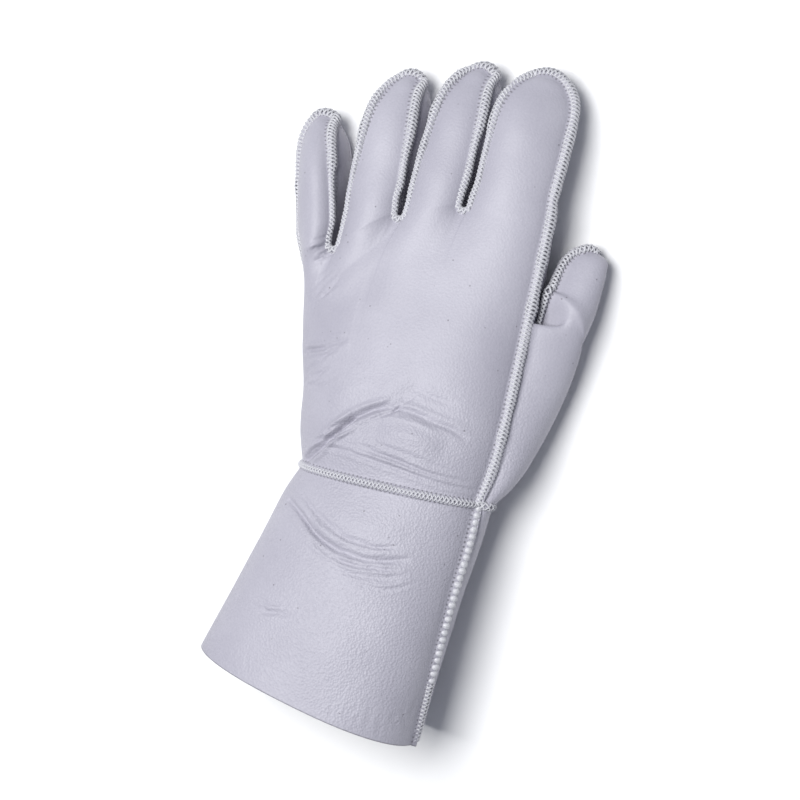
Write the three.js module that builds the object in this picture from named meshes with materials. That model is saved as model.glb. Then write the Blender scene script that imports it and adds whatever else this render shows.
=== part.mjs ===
// A left-hand shearling glove with a gauntlet cuff, lying palm down.
// Millimetres. x runs to the thumb, y to the fingertips, z up from the surface that it lies on.
// The wrist seam lies at y = 0 until the whole glove is centred at the end.
import * as THREE from "three";

// Driving sizes
const palmLength = 137;
const palmWidth = 132;
const palmHeight = 50;
const fingerHeight = 31;
const indexLength = 68.5;
const middleLength = 71;
const ringLength = 77;
const littleLength = 67;
const indexWidth = 36.4;
const middleWidth = 27.6;
const ringWidth = 27.4;
const littleWidth = 24.6;
const thumbWidth = 22.5;
const cuffLength = 108;
const hemWidth = 118;
const hemHeight = 71;
const hemSlant = 11;
const leather = 1.3;
const seamGap = 0.3;
const seamHeight = 2.8;
const sideSeamHeight = 2.24;
const crotchSeamHeight = 1.0;
const pressedSeamHeight = 0.6;
const notchWidth = 5.4;
const notchDepth = 2.2;
const woolDepth = 7.5;
const woolClearance = 0.4;
const woolWave = 0.9;
const hemRecess = 1.5;

// How finely the leather is divided
const fingerColumns = 4;
const rootColumns = 4;
const thumbColumns = 6;
const fourchetteColumns = 2;

const radians = Math.PI / 180;
const up = new THREE.Vector3(0, 0, 1);
const point = (x, y, z) => new THREE.Vector3(x, y, z);
const mix = (a, b, share) => a + (b - a) * share;
const clamp = (value, low, high) => Math.min(Math.max(value, low), high);
const signedPower = (value, power) => Math.sign(value) * Math.abs(value) ** power;
const smooth = (from, to, value) => {
  const share = clamp((value - from) / (to - from), 0, 1);
  return share * share * (3 - 2 * share);
};

// A table's rows as objects: the first list names its columns.
const table = (columns, ...rows) => rows.map((row) => Object.fromEntries(row.map((v, k) => [columns[k], v])));

// One column of a table at a place between its rows, on a smooth curve through the rows
function read(table, column, along) {
  let i = 0;
  while (i < table.length - 2 && along > table[i + 1].along) i += 1;
  const row = (k) => table[clamp(k, 0, table.length - 1)];
  const [before, start, end, after] = [row(i - 1), row(i), row(i + 1), row(i + 2)];
  const span = end.along - start.along;
  const t = clamp((along - start.along) / span, 0, 1);
  const slope = (a, b) => ((b[column] - a[column]) / (b.along - a.along)) * span;
  const [rise, fall] = [slope(before, end), slope(start, after)];
  const startWeight = (1 + 2 * t) * (1 - t) ** 2;
  const value = startWeight * start[column] + (1 - startWeight) * end[column];
  return value + t * (1 - t) ** 2 * rise - t * t * (1 - t) * fall;
}

// Sections of the hand from the wrist seam to the crotch of the index finger.
// left and seam are shares of palmWidth: the outline on the little finger's side, and the radial seam.
// seamRise, top and low are shares of palmHeight; a low under 0 is pressed flat on the surface.
const handSections = table(
  ["along", "left", "seam", "seamRise", "top", "low"],
  [0.0, -0.352, 0.358, 0.7, 1.04, 0.09],
  [0.12, -0.394, 0.383, 0.68, 1.06, -0.02],
  [0.28, -0.424, 0.392, 0.64, 1.0, -0.06],
  [0.44, -0.477, 0.393, 0.59, 0.94, -0.06],
  [0.65, -0.53, 0.393, 0.54, 0.84, -0.06],
  [0.82, -0.576, 0.394, 0.51, 0.76, -0.06],
  [1.0, -0.621, 0.394, 0.48, 0.68, -0.06],
);
const handRows = [0, 0.06, 0.13, 0.2, 0.28, 0.4, 0.52, 0.65, 0.77, 0.89, 1];
const thumbRow = 7;
const radialAngle = 20 * radians;
const ulnarAngle = 205 * radians;
const squareness = 0.85;

function ringPoint(ring, angle, y) {
  const lift = signedPower(Math.sin(angle), squareness);
  const x = ring.x + ring.reach * signedPower(Math.cos(angle), squareness);
  const z = ring.z + lift * (lift > 0 ? ring.rise : ring.fall);
  return point(x, y, Math.max(z, 0));
}

// The hand's section at y: an oval with its own height above and below its widest line
function handPoint(angle, y) {
  const along = y / palmLength;
  const left = read(handSections, "left", along) * palmWidth;
  const seam = read(handSections, "seam", along) * palmWidth;
  const seamRise = read(handSections, "seamRise", along) * palmHeight;
  const top = read(handSections, "top", along) * palmHeight;
  const low = read(handSections, "low", along) * palmHeight;
  const reach = (seam - left) / (1 + Math.cos(radialAngle) ** squareness);
  const rise = (top - seamRise) / (1 - Math.sin(radialAngle) ** squareness);
  const z = top - rise;
  return ringPoint({ x: left + reach, z, reach, rise, fall: z - low }, angle, y);
}

// An arched line from one point to another. crown is how far its middle stands off the straight line.
function arch(from, to, crown, fullness, share) {
  const angle = (share - 0.5) * Math.PI;
  const middle = from.clone().add(to).multiplyScalar(0.5);
  const half = to.clone().sub(from).multiplyScalar(0.5);
  middle.addScaledVector(half, Math.sin(angle));
  middle.addScaledVector(crown, Math.max(Math.cos(angle), 0) ** fullness);
  middle.z = Math.max(middle.z, 0);
  return middle;
}

// A vertex of a leather piece. Its seams say how the edge is turned up there.
const vertex = (p) => ({ p, seams: [] });
const twin = (v) => ({ p: v.p, seams: [...v.seams] });

// An outseam along a line of vertices: the edge turns out along f, standing height over the leather.
// lean gives the height of f over the horizontal, away from the line, where f isn't given.
function sewOut(line, style, closed = false) {
  line.forEach((v, i) => {
    const count = line.length;
    const before = closed ? line[(i + count - 1) % count] : line[Math.max(i - 1, 0)];
    const after = closed ? line[(i + 1) % count] : line[Math.min(i + 1, count - 1)];
    const t = point(0, 0, 0);
    if (before !== v) t.add(v.p.clone().sub(before.p).normalize());
    if (after !== v) t.add(after.p.clone().sub(v.p).normalize());
    t.normalize();
    const { lean, f, height } = style(v, i);
    const out = f ? f.clone() : point(t.y, -t.x, 0).normalize();
    if (!f) out.multiplyScalar(Math.cos(lean)).addScaledVector(up, Math.sin(lean));
    out.addScaledVector(t, -out.dot(t)).normalize();
    v.seams.push({ t, f: out, height });
  });
}

// Fingers, from the little finger to the index finger.
// x and y of the crotches are shares of palmWidth and palmLength.
const crotches = [
  { x: -0.398, y: 0.777 },
  { x: -0.162, y: 0.927 },
  { x: 0.078, y: 0.996 },
];
const outerCorners = { little: { x: -0.552, y: 0.73 }, index: { x: 0.394, y: 1.0 } };
// drift is the sideways lean of the tip, a share of the finger's length.
const fingers = [
  { name: "little", width: littleWidth, length: littleLength, drift: -0.19 },
  { name: "ring", width: ringWidth, length: ringLength, drift: 0.03 },
  { name: "middle", width: middleWidth, length: middleLength, drift: 0.1 },
  { name: "index", width: indexWidth, length: indexLength, drift: 0.03 },
];
const littleFinger = 0;
const indexFinger = 3;
// width is a share of the finger's width, the heights are shares of fingerHeight.
// backSeam and palmSeam run into one another where the strip between them ends. tuck is how far the
// back's seam on the thumb's side lies in from the finger's side, a share of its width.
const fingerSections = table(
  ["along", "width", "top", "low", "backSeam", "palmSeam", "tuck", "radial", "ulnar"],
  [0.0, 1.0, 1.1, -0.06, 0.9, 0.2, 0, 0.77, 0.28],
  [0.2, 1.0, 1.06, -0.06, 0.88, 0.2, 0, 0.73, 0.32],
  [0.4, 1.0, 1.0, -0.06, 0.84, 0.2, 0.03, 0.67, 0.36],
  [0.58, 0.985, 0.95, -0.06, 0.78, 0.2, 0.07, 0.6, 0.39],
  [0.72, 0.95, 0.87, -0.05, 0.68, 0.22, 0.1, 0.53, 0.4],
  [0.82, 0.88, 0.77, -0.02, 0.57, 0.29, 0.1, 0.46, 0.4],
  [0.9, 0.75, 0.66, 0.06, 0.4, 0.4, 0.06, 0.4, 0.4],
  [0.96, 0.58, 0.55, 0.17, 0.38, 0.38, 0.03, 0.38, 0.38],
  [1.0, 0.4, 0.36, 0.36, 0.36, 0.36, 0, 0.36, 0.36],
);
// A finger's lines stand square to its axis from this share of its length on.
const squareFrom = 0.45;
const stripEnd = 5;
const mergeRow = 6;
const tipRow = fingerSections.length - 1;
const tipBulge = 0.035;
const littleBulge = 0.14;
const indexBulge = 0.22;
const stripBulge = { size: 0.045, from: 0.4, to: 0.75 };

function fingerBase(number) {
  const notch = (k, side) => point(
    crotches[k].x * palmWidth + (side * notchWidth) / 2,
    crotches[k].y * palmLength + notchDepth,
    0,
  );
  const corner = (c) => point(c.x * palmWidth, c.y * palmLength, 0);
  const left = number === littleFinger ? corner(outerCorners.little) : notch(number - 1, 1);
  const right = number === indexFinger ? corner(outerCorners.index) : notch(number, -1);
  return { left, right };
}

// The line across a finger at one of its sections: its middle, its direction and half its width
function fingerLine(number, row) {
  const finger = fingers[number];
  const { along, width } = fingerSections[row];
  const { left, right } = fingerBase(number);
  const base = left.clone().add(right).multiplyScalar(0.5);
  const axis = point(finger.drift, 1, 0).normalize();
  const square = point(axis.y, -axis.x, 0);
  const across = right.clone().sub(left);
  const half = (row > 0 ? finger.width * width : across.length()) / 2;
  across.normalize().lerp(square, smooth(0, squareFrom, along)).normalize();
  return { middle: base.addScaledVector(axis, finger.length * along), across, half, axis };
}

// How an outseam turns along a finger: its height over the horizontal in degrees at the finger's root
// and at its tip, and the places between which it turns
const seamTurns = {
  back: { root: 70, tip: 30, from: 0.4, to: 0.9 },
  palm: { root: -70, tip: -20, from: 0.4, to: 0.9 },
  ulnar: { root: -20, tip: 30, from: 0.2, to: 0.75 },
  radial: { root: 48, tip: 30, from: 0.4, to: 0.9 },
};
function leanOf(name, row) {
  const { root, tip, from, to } = seamTurns[name];
  return mix(root, tip, smooth(from, to, fingerSections[row].along)) * radians;
}

// The back's outseams rise from the crotches to their full height.
const seamGrowth = { from: 0.15, to: 0.7 };
function seamRise(row) {
  return mix(crotchSeamHeight, seamHeight, smooth(seamGrowth.from, seamGrowth.to, fingerSections[row].along));
}

// The four seam corners of a finger at each section, and the seam across its tip
function fingerSeams(number) {
  const outer = { left: number === littleFinger, right: number === indexFinger };
  const rows = fingerSections.map((section, row) => {
    const { middle, across, half } = fingerLine(number, row);
    const corner = (side, column) => {
      const tuck = side > 0 && column === "backSeam" ? 2 * section.tuck : 0;
      const p = middle.clone().addScaledVector(across, (side - tuck) * half);
      p.z = section[column] * fingerHeight;
      return vertex(p);
    };
    const backLeft = corner(-1, outer.left ? "ulnar" : "backSeam");
    const backRight = corner(1, outer.right ? "radial" : "backSeam");
    const joined = row >= mergeRow;
    return {
      backLeft,
      backRight,
      palmLeft: joined || outer.left ? backLeft : corner(-1, "palmSeam"),
      palmRight: joined || outer.right ? backRight : corner(1, "palmSeam"),
    };
  });
  const { axis } = fingerLine(number, tipRow);
  const end = rows[tipRow];
  const tip = [];
  for (let j = 1; j < fingerColumns; j += 1) {
    const share = j / fingerColumns;
    const p = end.backLeft.p.clone().lerp(end.backRight.p, share);
    p.addScaledVector(axis, fingers[number].length * tipBulge * 4 * share * (1 - share));
    tip.push(vertex(p));
  }
  return { rows, tip };
}
const seamsOf = fingers.map((finger, number) => fingerSeams(number));

// How full the arches of the back and of the palm side are: under 1 is squarer than a circle
const fullness = { back: 1.25, palm: 0.8 };

// The row of vertices across a finger's back or its palm side
function fingerRow(number, row, side, columns) {
  const seams = seamsOf[number].rows[row];
  const section = fingerSections[row];
  const back = side === "back";
  const from = back ? seams.backLeft : seams.palmLeft;
  const to = back ? seams.backRight : seams.palmRight;
  const { across, half } = fingerLine(number, row);
  const height = (back ? section.top : section.low) * fingerHeight;
  const crown = up.clone().multiplyScalar(height - (from.p.z + to.p.z) / 2);
  if (back && number === littleFinger) crown.addScaledVector(across, -littleBulge * half);
  if (!back && number === indexFinger) crown.addScaledVector(across, indexBulge * half);
  const line = [from];
  for (let j = 1; j < columns; j += 1) {
    line.push(vertex(arch(from.p, to.p, crown, fullness[side], j / columns)));
  }
  return [...line, to];
}

// The seam across a fingertip, with as many vertices as the piece has columns
function tipLine(number, columns) {
  const { rows, tip } = seamsOf[number];
  const line = [rows[tipRow].backLeft, ...tip, rows[tipRow].backRight];
  if (columns === fingerColumns) return line;
  const last = line.length - 1;
  const extra = columns - fingerColumns + 1;
  const stretch = [];
  for (let k = 1; k < extra; k += 1) {
    const v = vertex(line[last - 1].p.clone().lerp(line[last].p, k / extra));
    v.between = [line[last - 1], line[last]];
    stretch.push(v);
  }
  return [...line.slice(0, last), ...stretch, line[last]];
}

// Back and palm of the hand as grids. Each column follows one angle of the hand's oval section,
// and the grid is drawn over to the fingers' bases as it nears them.
const notches = crotches.map(({ x, y }) => ({
  back: vertex(point(x * palmWidth, y * palmLength, fingerSections[0].backSeam * fingerHeight)),
  palm: vertex(point(x * palmWidth, y * palmLength, fingerSections[0].palmSeam * fingerHeight)),
}));
const indexPalmColumns = fingerColumns + rootColumns;

function baseLine(side) {
  const line = [];
  fingers.forEach((finger, number) => {
    const columns = side === "palm" && number === indexFinger ? indexPalmColumns : fingerColumns;
    line.push(...fingerRow(number, 0, side, columns));
    if (number < indexFinger) line.push(notches[number][side]);
  });
  return line;
}

// The angle on the hand's section that has a given share of the way from its left to its right
const outermost = 0.995;
function angleAt(p, lower) {
  const left = handPoint(180 * radians, p.y).x;
  const right = handPoint(0, p.y).x;
  const share = clamp(((p.x - left) / (right - left)) * 2 - 1, -outermost, outermost);
  const angle = Math.acos(signedPower(share, 1 / squareness));
  return lower ? 2 * Math.PI - angle : angle;
}

const backBase = baseLine("back");
const palmBase = baseLine("palm");
const palmColumn = palmBase.length - 1 - rootColumns;
const backAngles = backBase.map((v, j) => {
  if (j === 0) return ulnarAngle;
  return j === backBase.length - 1 ? radialAngle : angleAt(v.p, false);
});
const thumbPalmAngle = angleAt(palmBase[palmColumn].p, true);
const palmAngles = palmBase.map((v, j) => {
  if (j === 0) return ulnarAngle;
  const extra = (j - palmColumn) / rootColumns;
  return j <= palmColumn ? angleAt(v.p, true) : mix(thumbPalmAngle, radialAngle + 2 * Math.PI, extra);
});

// Creases of the hand's back and of the cuff: the ends are shares of palmWidth and palmLength, depth
// and width are shares of palmHeight.
const creases = table(
  ["x0", "y0", "x1", "y1", "depth", "width"],
  [-0.35, 0.035, -0.2, 0.17, 0.064, 0.09],
  [-0.2, 0.17, 0.01, 0.33, 0.06, 0.1],
  [-0.04, 0.275, 0.16, 0.255, 0.032, 0.09],
  [-0.35, -0.15, -0.04, -0.245, 0.036, 0.09],
  [-0.04, -0.245, 0.18, -0.225, 0.036, 0.09],
);
function creaseDepth(p) {
  const depths = creases.map(({ x0, y0, x1, y1, depth, width }) => {
    const from = point(x0 * palmWidth, y0 * palmLength, 0);
    const line = point(x1 * palmWidth, y1 * palmLength, 0).sub(from);
    const offset = point(p.x, p.y, 0).sub(from);
    const share = clamp(offset.dot(line) / line.lengthSq(), 0, 1);
    const distance = offset.addScaledVector(line, -share).length();
    return depth * palmHeight * Math.exp(-((distance / (width * palmHeight)) ** 2));
  });
  return Math.max(...depths);
}

// How far the palm is drawn back to the wrist under the root of the thumb, as a share of y
const rootDip = 0.2;
const rootDipReach = 8;
function palmPull(j, share) {
  const rootShare = handRows[thumbRow];
  const near = j <= palmColumn ? smooth(palmColumn - rootDipReach, palmColumn, j)
    : 1 - (j - palmColumn) / rootColumns;
  const nearRow = share < rootShare ? smooth(0, rootShare, share) : 1 - smooth(rootShare, 1, share);
  return 1 - rootDip * near * nearRow;
}

// The grid is drawn to the fingers' bases by this power of the share of the way.
const drawnPower = 3;
function handGrid(base, angles, isPalm) {
  return handRows.map((share, i) => base.map((end, j) => {
    if (i === handRows.length - 1) return end;
    const y = share * end.p.y * (isPalm ? palmPull(j, share) : 1);
    const p = handPoint(angles[j], y);
    const pull = end.p.clone().sub(handPoint(angles[j], end.p.y));
    p.addScaledVector(pull, share ** drawnPower);
    const inside = j > 0 && j < base.length - 1;
    if (!isPalm && i > 0 && inside) p.z -= creaseDepth(p);
    p.z = Math.max(p.z, 0);
    return vertex(p);
  }));
}
const backGrid = handGrid(backBase, backAngles, false);
const palmGrid = handGrid(palmBase, palmAngles, true);
const radialEdge = backBase.length - 1;

// One seam is one line of vertices: the palm takes the back's vertices where the two meet.
handRows.forEach((share, i) => {
  palmGrid[i][0] = backGrid[i][0];
  if (i > thumbRow) palmGrid[i][palmBase.length - 1] = backGrid[i][radialEdge];
});

// The seam under the thumb's root keeps clear of the surface.
const pressedSeamRise = 2.6;
for (let i = 0; i <= thumbRow; i += 1) {
  const { p } = palmGrid[i][palmColumn];
  p.z = Math.max(p.z, pressedSeamRise);
}

// The root of the thumb: where the palm's side, the thumb's two pieces and the radial seam meet
const rootCorner = backGrid[thumbRow][radialEdge];
const rootLine = palmGrid[thumbRow].slice(palmColumn).map((v) => v.p.clone());
rootLine[rootColumns].copy(rootCorner.p);

// Outer line of the thumb's root below the crotch: reach is a share of palmWidth from the radial seam.
const rootSections = table(
  ["along", "reach", "rise", "fullness"],
  [0.0, 0.035, 0.06, 0.9],
  [0.07, 0.07, 0.03, 0.85],
  [0.2, 0.105, -0.02, 0.8],
  [0.35, 0.14, -0.03, 0.78],
  [0.52, 0.175, 0.03, 0.76],
  [0.66, 0.19, 0.09, 0.75],
);
// Sections of the free thumb. x and y are shares of palmWidth and palmLength, half of thumbWidth,
// top of palmHeight, low is where its lower seam lies across it, slant is how far that seam lies back,
// and seamRise is how far its inner seam lies over the thumb's middle, a share of half its height.
const thumbSections = table(
  ["x", "y", "half", "top", "low", "slant", "seamRise"],
  [0.516, 0.655, 0.5, 0.5, -0.8, 0.2, 0.65],
  [0.525, 0.735, 0.5, 0.47, -0.2, 0.09, 0.53],
  [0.53, 0.81, 0.49, 0.44, -0.05, 0.04, 0.43],
  [0.534, 0.87, 0.45, 0.4, 0.1, 0.015, 0.35],
  [0.538, 0.915, 0.34, 0.34, 0.35, 0.0, 0.3],
);
// How far the thumb's two sides reach out, how they rise or drop there, and how full their arches are
const thumbShape = {
  outer: 0.93,
  inner: 0.97,
  outerRise: 0.62,
  innerDrop: 0.25,
  outerFullness: 0.75,
  innerFullness: 0.9,
};
const thumbTip = { from: { x: 0.511, y: 0.932, z: 0.2 }, to: { x: 0.561, y: 0.932, z: 0.13 }, bulge: 0.012 };

// Vertices along the thumb's two edges, from the wrist to the tip
const radialLower = [];
const palmLower = [];
for (let i = 0; i <= thumbRow; i += 1) {
  radialLower.push(twin(backGrid[i][radialEdge]));
  palmLower.push(twin(palmGrid[i][palmColumn]));
}
const halfway = vertex(palmLower[thumbRow - 1].p.clone().lerp(palmLower[thumbRow].p, 0.5));
const thumbRoot = vertex(rootLine[rootColumns - 1]);
const freeThumb = thumbSections.map((s) => {
  const half = s.half * thumbWidth;
  const centre = point(s.x * palmWidth, s.y * palmLength, (s.top * palmHeight) / 2);
  const slant = (s.slant * palmLength) / 2;
  const inner = centre.clone().add(point(-thumbShape.outer * half, slant, centre.z * s.seamRise));
  const lower = point(centre.x + s.low * half, centre.y - slant, pressedSeamRise);
  return { centre, half, inner: vertex(inner), lower: vertex(lower) };
});
const tipPoint = (share) => {
  const { from, to, bulge } = thumbTip;
  const y = mix(from.y, to.y, share) + bulge * 4 * share * (1 - share);
  return point(mix(from.x, to.x, share) * palmWidth, y * palmLength, mix(from.z, to.z, share) * palmHeight);
};
const thumbInnerColumns = rootColumns - 1;
const thumbTipLine = [];
for (let j = 0; j <= thumbInnerColumns; j += 1) thumbTipLine.push(vertex(tipPoint(j / thumbInnerColumns)));

function thumbRowBetween(from, to, crown, fullness) {
  const line = [from];
  for (let j = 1; j < thumbColumns; j += 1) {
    line.push(vertex(arch(from.p, to.p, crown, fullness, j / thumbColumns)));
  }
  return [...line, to];
}

// The first row beyond the radial seam swells up and forward to meet the free thumb.
const rootSwell = { forward: 9, rise: 11 };

function thumbOuterGrid() {
  const rows = [];
  const rootRow = (from, to, swell) => {
    const along = from.p.y / palmLength;
    const reach = read(rootSections, "reach", along) * palmWidth;
    const rise = read(rootSections, "rise", along) * palmHeight;
    const middle = (from.p.x + to.p.x) / 2;
    const crown = point(from.p.x + reach - middle, 0, rise);
    const row = thumbRowBetween(from, to, crown, read(rootSections, "fullness", along));
    row.slice(1, -1).forEach((v, j) => {
      const share = (j + 1) / thumbColumns;
      const near = swell * Math.sin(share * Math.PI) * (1 - share);
      v.p.add(point(0, rootSwell.forward * near, rootSwell.rise * near));
    });
    return row;
  };
  for (let i = 0; i < thumbRow; i += 1) rows.push(rootRow(radialLower[i], palmLower[i], 0));
  rows.push(rootRow(radialLower[thumbRow], halfway, 0));
  rows.push(rootRow(thumbRoot, palmLower[thumbRow], 1));
  freeThumb.forEach(({ centre, half, inner, lower }) => {
    const middle = inner.p.clone().add(lower.p).multiplyScalar(0.5);
    const side = centre.x + thumbShape.outer * half;
    const crown = point(side - middle.x, 0, thumbShape.outerRise * centre.z);
    rows.push(thumbRowBetween(inner, lower, crown, thumbShape.outerFullness));
  });
  const tip = [];
  for (let j = 0; j <= thumbColumns; j += 1) {
    const share = (j / thumbColumns) * thumbInnerColumns;
    const k = Math.min(Math.floor(share), thumbInnerColumns - 1);
    const whole = share === Math.round(share);
    if (whole) {
      tip.push(thumbTipLine[Math.round(share)]);
    } else {
      const v = vertex(thumbTipLine[k].p.clone().lerp(thumbTipLine[k + 1].p, share - k));
      v.between = [thumbTipLine[k], thumbTipLine[k + 1]];
      tip.push(v);
    }
  }
  return [...rows, tip];
}

function thumbInnerGrid() {
  const root = [];
  for (let j = rootColumns - 1; j >= 0; j -= 1) root.push(vertex(rootLine[j]));
  const rows = [root];
  freeThumb.forEach(({ centre, half, inner, lower }) => {
    const middle = inner.p.clone().add(lower.p).multiplyScalar(0.5);
    const side = centre.x - thumbShape.inner * half;
    const crown = point(side - middle.x, 0, -thumbShape.innerDrop * centre.z);
    const line = [twin(inner)];
    for (let j = 1; j < thumbInnerColumns; j += 1) {
      line.push(vertex(arch(inner.p, lower.p, crown, thumbShape.innerFullness, j / thumbInnerColumns)));
    }
    rows.push([...line, twin(lower)]);
  });
  return [...rows, thumbTipLine.map(twin)];
}
const outerGrid = thumbOuterGrid();
const innerGrid = thumbInnerGrid();

// Quads of a grid, seen from outside when its rows run to the fingertips and its columns to the right
function quads(rows, flip = false) {
  const faces = [];
  for (let i = 0; i + 1 < rows.length; i += 1) {
    for (let j = 0; j + 1 < rows[i].length; j += 1) {
      const face = [rows[i][j], rows[i][j + 1], rows[i + 1][j + 1], rows[i + 1][j]];
      faces.push(flip ? face.reverse() : face);
    }
  }
  return faces;
}

// The whole edge of the back from the wrist's thumb side round the fingers to its other side
function panelEdge(side) {
  const edge = [];
  for (let number = indexFinger; number >= 0; number -= 1) {
    const { rows, tip } = seamsOf[number];
    edge.push(...rows.map((row) => row[`${side}Right`]));
    edge.push(...[...tip].reverse());
    edge.push(...[...rows].reverse().map((row) => row[`${side}Left`]));
    if (number > 0) edge.push(notches[number - 1][side]);
  }
  return edge;
}
const backEdge = [
  ...backGrid.slice(0, -1).map((row) => row[radialEdge]),
  ...panelEdge("back"),
  ...[...backGrid.slice(0, -1)].reverse().map((row) => row[0]),
];
const styles = new Map();
fingers.forEach((finger, number) => {
  seamsOf[number].rows.forEach((row, i) => {
    const back = { lean: leanOf("back", i), height: seamRise(i) };
    const ulnar = { lean: leanOf("ulnar", i), height: seamHeight };
    const radial = { lean: leanOf("radial", i), height: seamHeight };
    styles.set(row.backLeft, number === littleFinger ? ulnar : back);
    styles.set(row.backRight, number === indexFinger ? radial : back);
    const palm = { lean: leanOf("palm", i), height: pressedSeamHeight };
    if (!styles.has(row.palmLeft)) styles.set(row.palmLeft, palm);
    if (!styles.has(row.palmRight)) styles.set(row.palmRight, palm);
  });
});
notches.forEach(({ back, palm }) => {
  styles.set(back, { lean: leanOf("back", 0), height: crotchSeamHeight });
  styles.set(palm, { lean: leanOf("palm", 0), height: pressedSeamHeight });
});
const tipStyle = { lean: seamTurns.back.tip * radians, height: seamHeight };
const radialStyle = { lean: seamTurns.radial.root * radians, height: seamHeight };
const ulnarStyle = { lean: seamTurns.ulnar.root * radians, height: seamHeight };
const thumbSide = new Set(backGrid.map((row) => row[radialEdge]));
const ulnarSide = new Set(backGrid.map((row) => row[0]));
const edgeStyle = (v) => {
  if (styles.has(v)) return styles.get(v);
  if (thumbSide.has(v)) return radialStyle;
  return ulnarSide.has(v) ? ulnarStyle : tipStyle;
};

// The wrist seam, a closed ring: back, then the thumb's side, then the palm
const ringAround = (i) => [
  ...backGrid[i].slice(0, -1),
  ...outerGrid[i].slice(0, -1),
  ...[...palmGrid[i].slice(1, palmColumn + 1)].reverse(),
];
const wristRing = ringAround(0);
const wristCentre = wristRing.reduce((sum, v) => sum.add(v.p), point(0, 0, 0)).divideScalar(wristRing.length);
const wristSeam = wristRing.map((v) => vertex(v.p));
const pressedUnder = 0.4;
sewOut(wristSeam, (v) => {
  const f = v.p.clone().sub(wristCentre).setY(0).normalize();
  const share = smooth(pressedUnder, 1, v.p.z / palmHeight);
  return { f, height: mix(pressedSeamHeight, seamHeight, share) };
}, true);
const wristFrame = new Map(wristSeam.map((v, i) => [wristRing[i].p, v.seams[0]]));

function addWrist(row) {
  row.forEach((v) => v.seams.push(wristFrame.get(v.p)));
}

// A butted edge: it is drawn back from the seam by offset, and inside leads to its inner side.
const plain = (v, offset, inside) => v.seams.push({ plain: offset, inside });

sewOut(backEdge, edgeStyle);
const palmEdge = panelEdge("palm");
const palmCopy = palmEdge.map((v) => vertex(v.p));
sewOut(palmCopy, (v, i) => edgeStyle(palmEdge[i]));
palmEdge.forEach((v, i) => {
  if (v.seams.length === 0) v.seams.push(palmCopy[i].seams[0]);
});

// Seams of the thumb: along the palm, along its inner edge, its lower edge and across its tip
const down = point(0, 0, -1);
const lowerSeamStyle = () => ({ f: down, height: pressedSeamHeight });
const lowerLine = [
  ...palmLower.slice(0, thumbRow),
  halfway,
  palmLower[thumbRow],
  ...freeThumb.map(({ lower }) => lower),
];
const lowerCopy = [...lowerLine, thumbTipLine[thumbInnerColumns]].map((v) => vertex(v.p));
sewOut(lowerCopy, lowerSeamStyle);
lowerLine.forEach((v, i) => v.seams.push(lowerCopy[i].seams[0]));

// The seam along the thumb's inner edge grows over its first rows and sinks again round the tip.
const innerLean = point(-0.8, 0, 0.6);
const tipLean = point(0.1, 1, 0.25);
const growRows = 2;
const tipFade = 0.6;
const tipStart = freeThumb.length + 1;
const innerLine = [thumbRoot, ...freeThumb.map(({ inner }) => inner), ...thumbTipLine];
const innerCopy = [...innerLine, freeThumb[freeThumb.length - 1].lower].map((v) => vertex(v.p));
sewOut(innerCopy, (v, i) => {
  const f = innerLean.clone().lerp(tipLean, smooth(freeThumb.length - 1, tipStart, i)).normalize();
  const fade = smooth(0, growRows, i) * (1 - tipFade * smooth(tipStart, innerCopy.length - 1, i));
  return { f, height: mix(pressedSeamHeight, sideSeamHeight, fade) };
});
innerLine.forEach((v, i) => v.seams.push(innerCopy[i].seams[0]));

radialLower.forEach((v, i) => {
  v.seams.push(backGrid[i][radialEdge].seams[0]);
});

// Corners and butted edges
const seamOf = (v) => v.seams[0];
const acrossPalm = point(-0.5, 0.86, 0);
const acrossSeam = point(-1, 0, 0);
const acrossRoot = (j) => acrossPalm.clone().lerp(acrossSeam, j / rootColumns).normalize();
const toHand = (j) => acrossRoot(j).multiplyScalar(seamGap / 2);
const toThumb = (j) => acrossRoot(j).multiplyScalar(-seamGap / 2);
const endSeam = ({ f, height }, from, to) => {
  const t = to.p.clone().sub(from.p).normalize();
  return { t, f: f.clone().addScaledVector(t, -f.dot(t)).normalize(), height };
};
palmGrid.slice(0, thumbRow + 1).forEach((row, i) => {
  row[palmColumn] = twin(palmLower[i]);
});
const palmEnd = palmGrid[thumbRow][palmColumn];
palmEnd.seams = [endSeam(seamOf(palmEnd), palmLower[thumbRow - 1], palmEnd)];
const palmCorner = vertex(rootCorner.p);
palmCorner.seams.push(seamOf(rootCorner));
plain(palmCorner, toHand(rootColumns));
palmGrid[thumbRow][palmBase.length - 1] = palmCorner;
for (let j = 0; j < rootColumns; j += 1) plain(palmGrid[thumbRow][palmColumn + j], toHand(j));
plain(radialLower[thumbRow], toThumb(rootColumns));
plain(thumbRoot, toThumb(rootColumns - 1));
const heading = (from, to) => to.clone().sub(from).normalize();
const lowerEndInset = 4 * leather;
const upperEndInset = 2 * leather;
innerGrid[0].forEach((v, j) => {
  if (j === thumbInnerColumns) {
    const along = heading(rootLine[0], freeThumb[0].lower.p).add(heading(rootLine[0], rootLine[1]));
    plain(v, along.normalize().multiplyScalar(lowerEndInset), up);
    return;
  }
  const under = j === 0 ? upperEndInset : 0;
  plain(v, toThumb(thumbInnerColumns - j).addScaledVector(down, under));
});
innerGrid.slice(1, -1).forEach((row, i) => {
  row[0].seams = [seamOf(freeThumb[i].inner)];
  row[thumbInnerColumns].seams = [seamOf(freeThumb[i].lower)];
});
innerGrid[innerGrid.length - 1].forEach((v, j) => {
  v.seams = [seamOf(thumbTipLine[j])];
});

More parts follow.
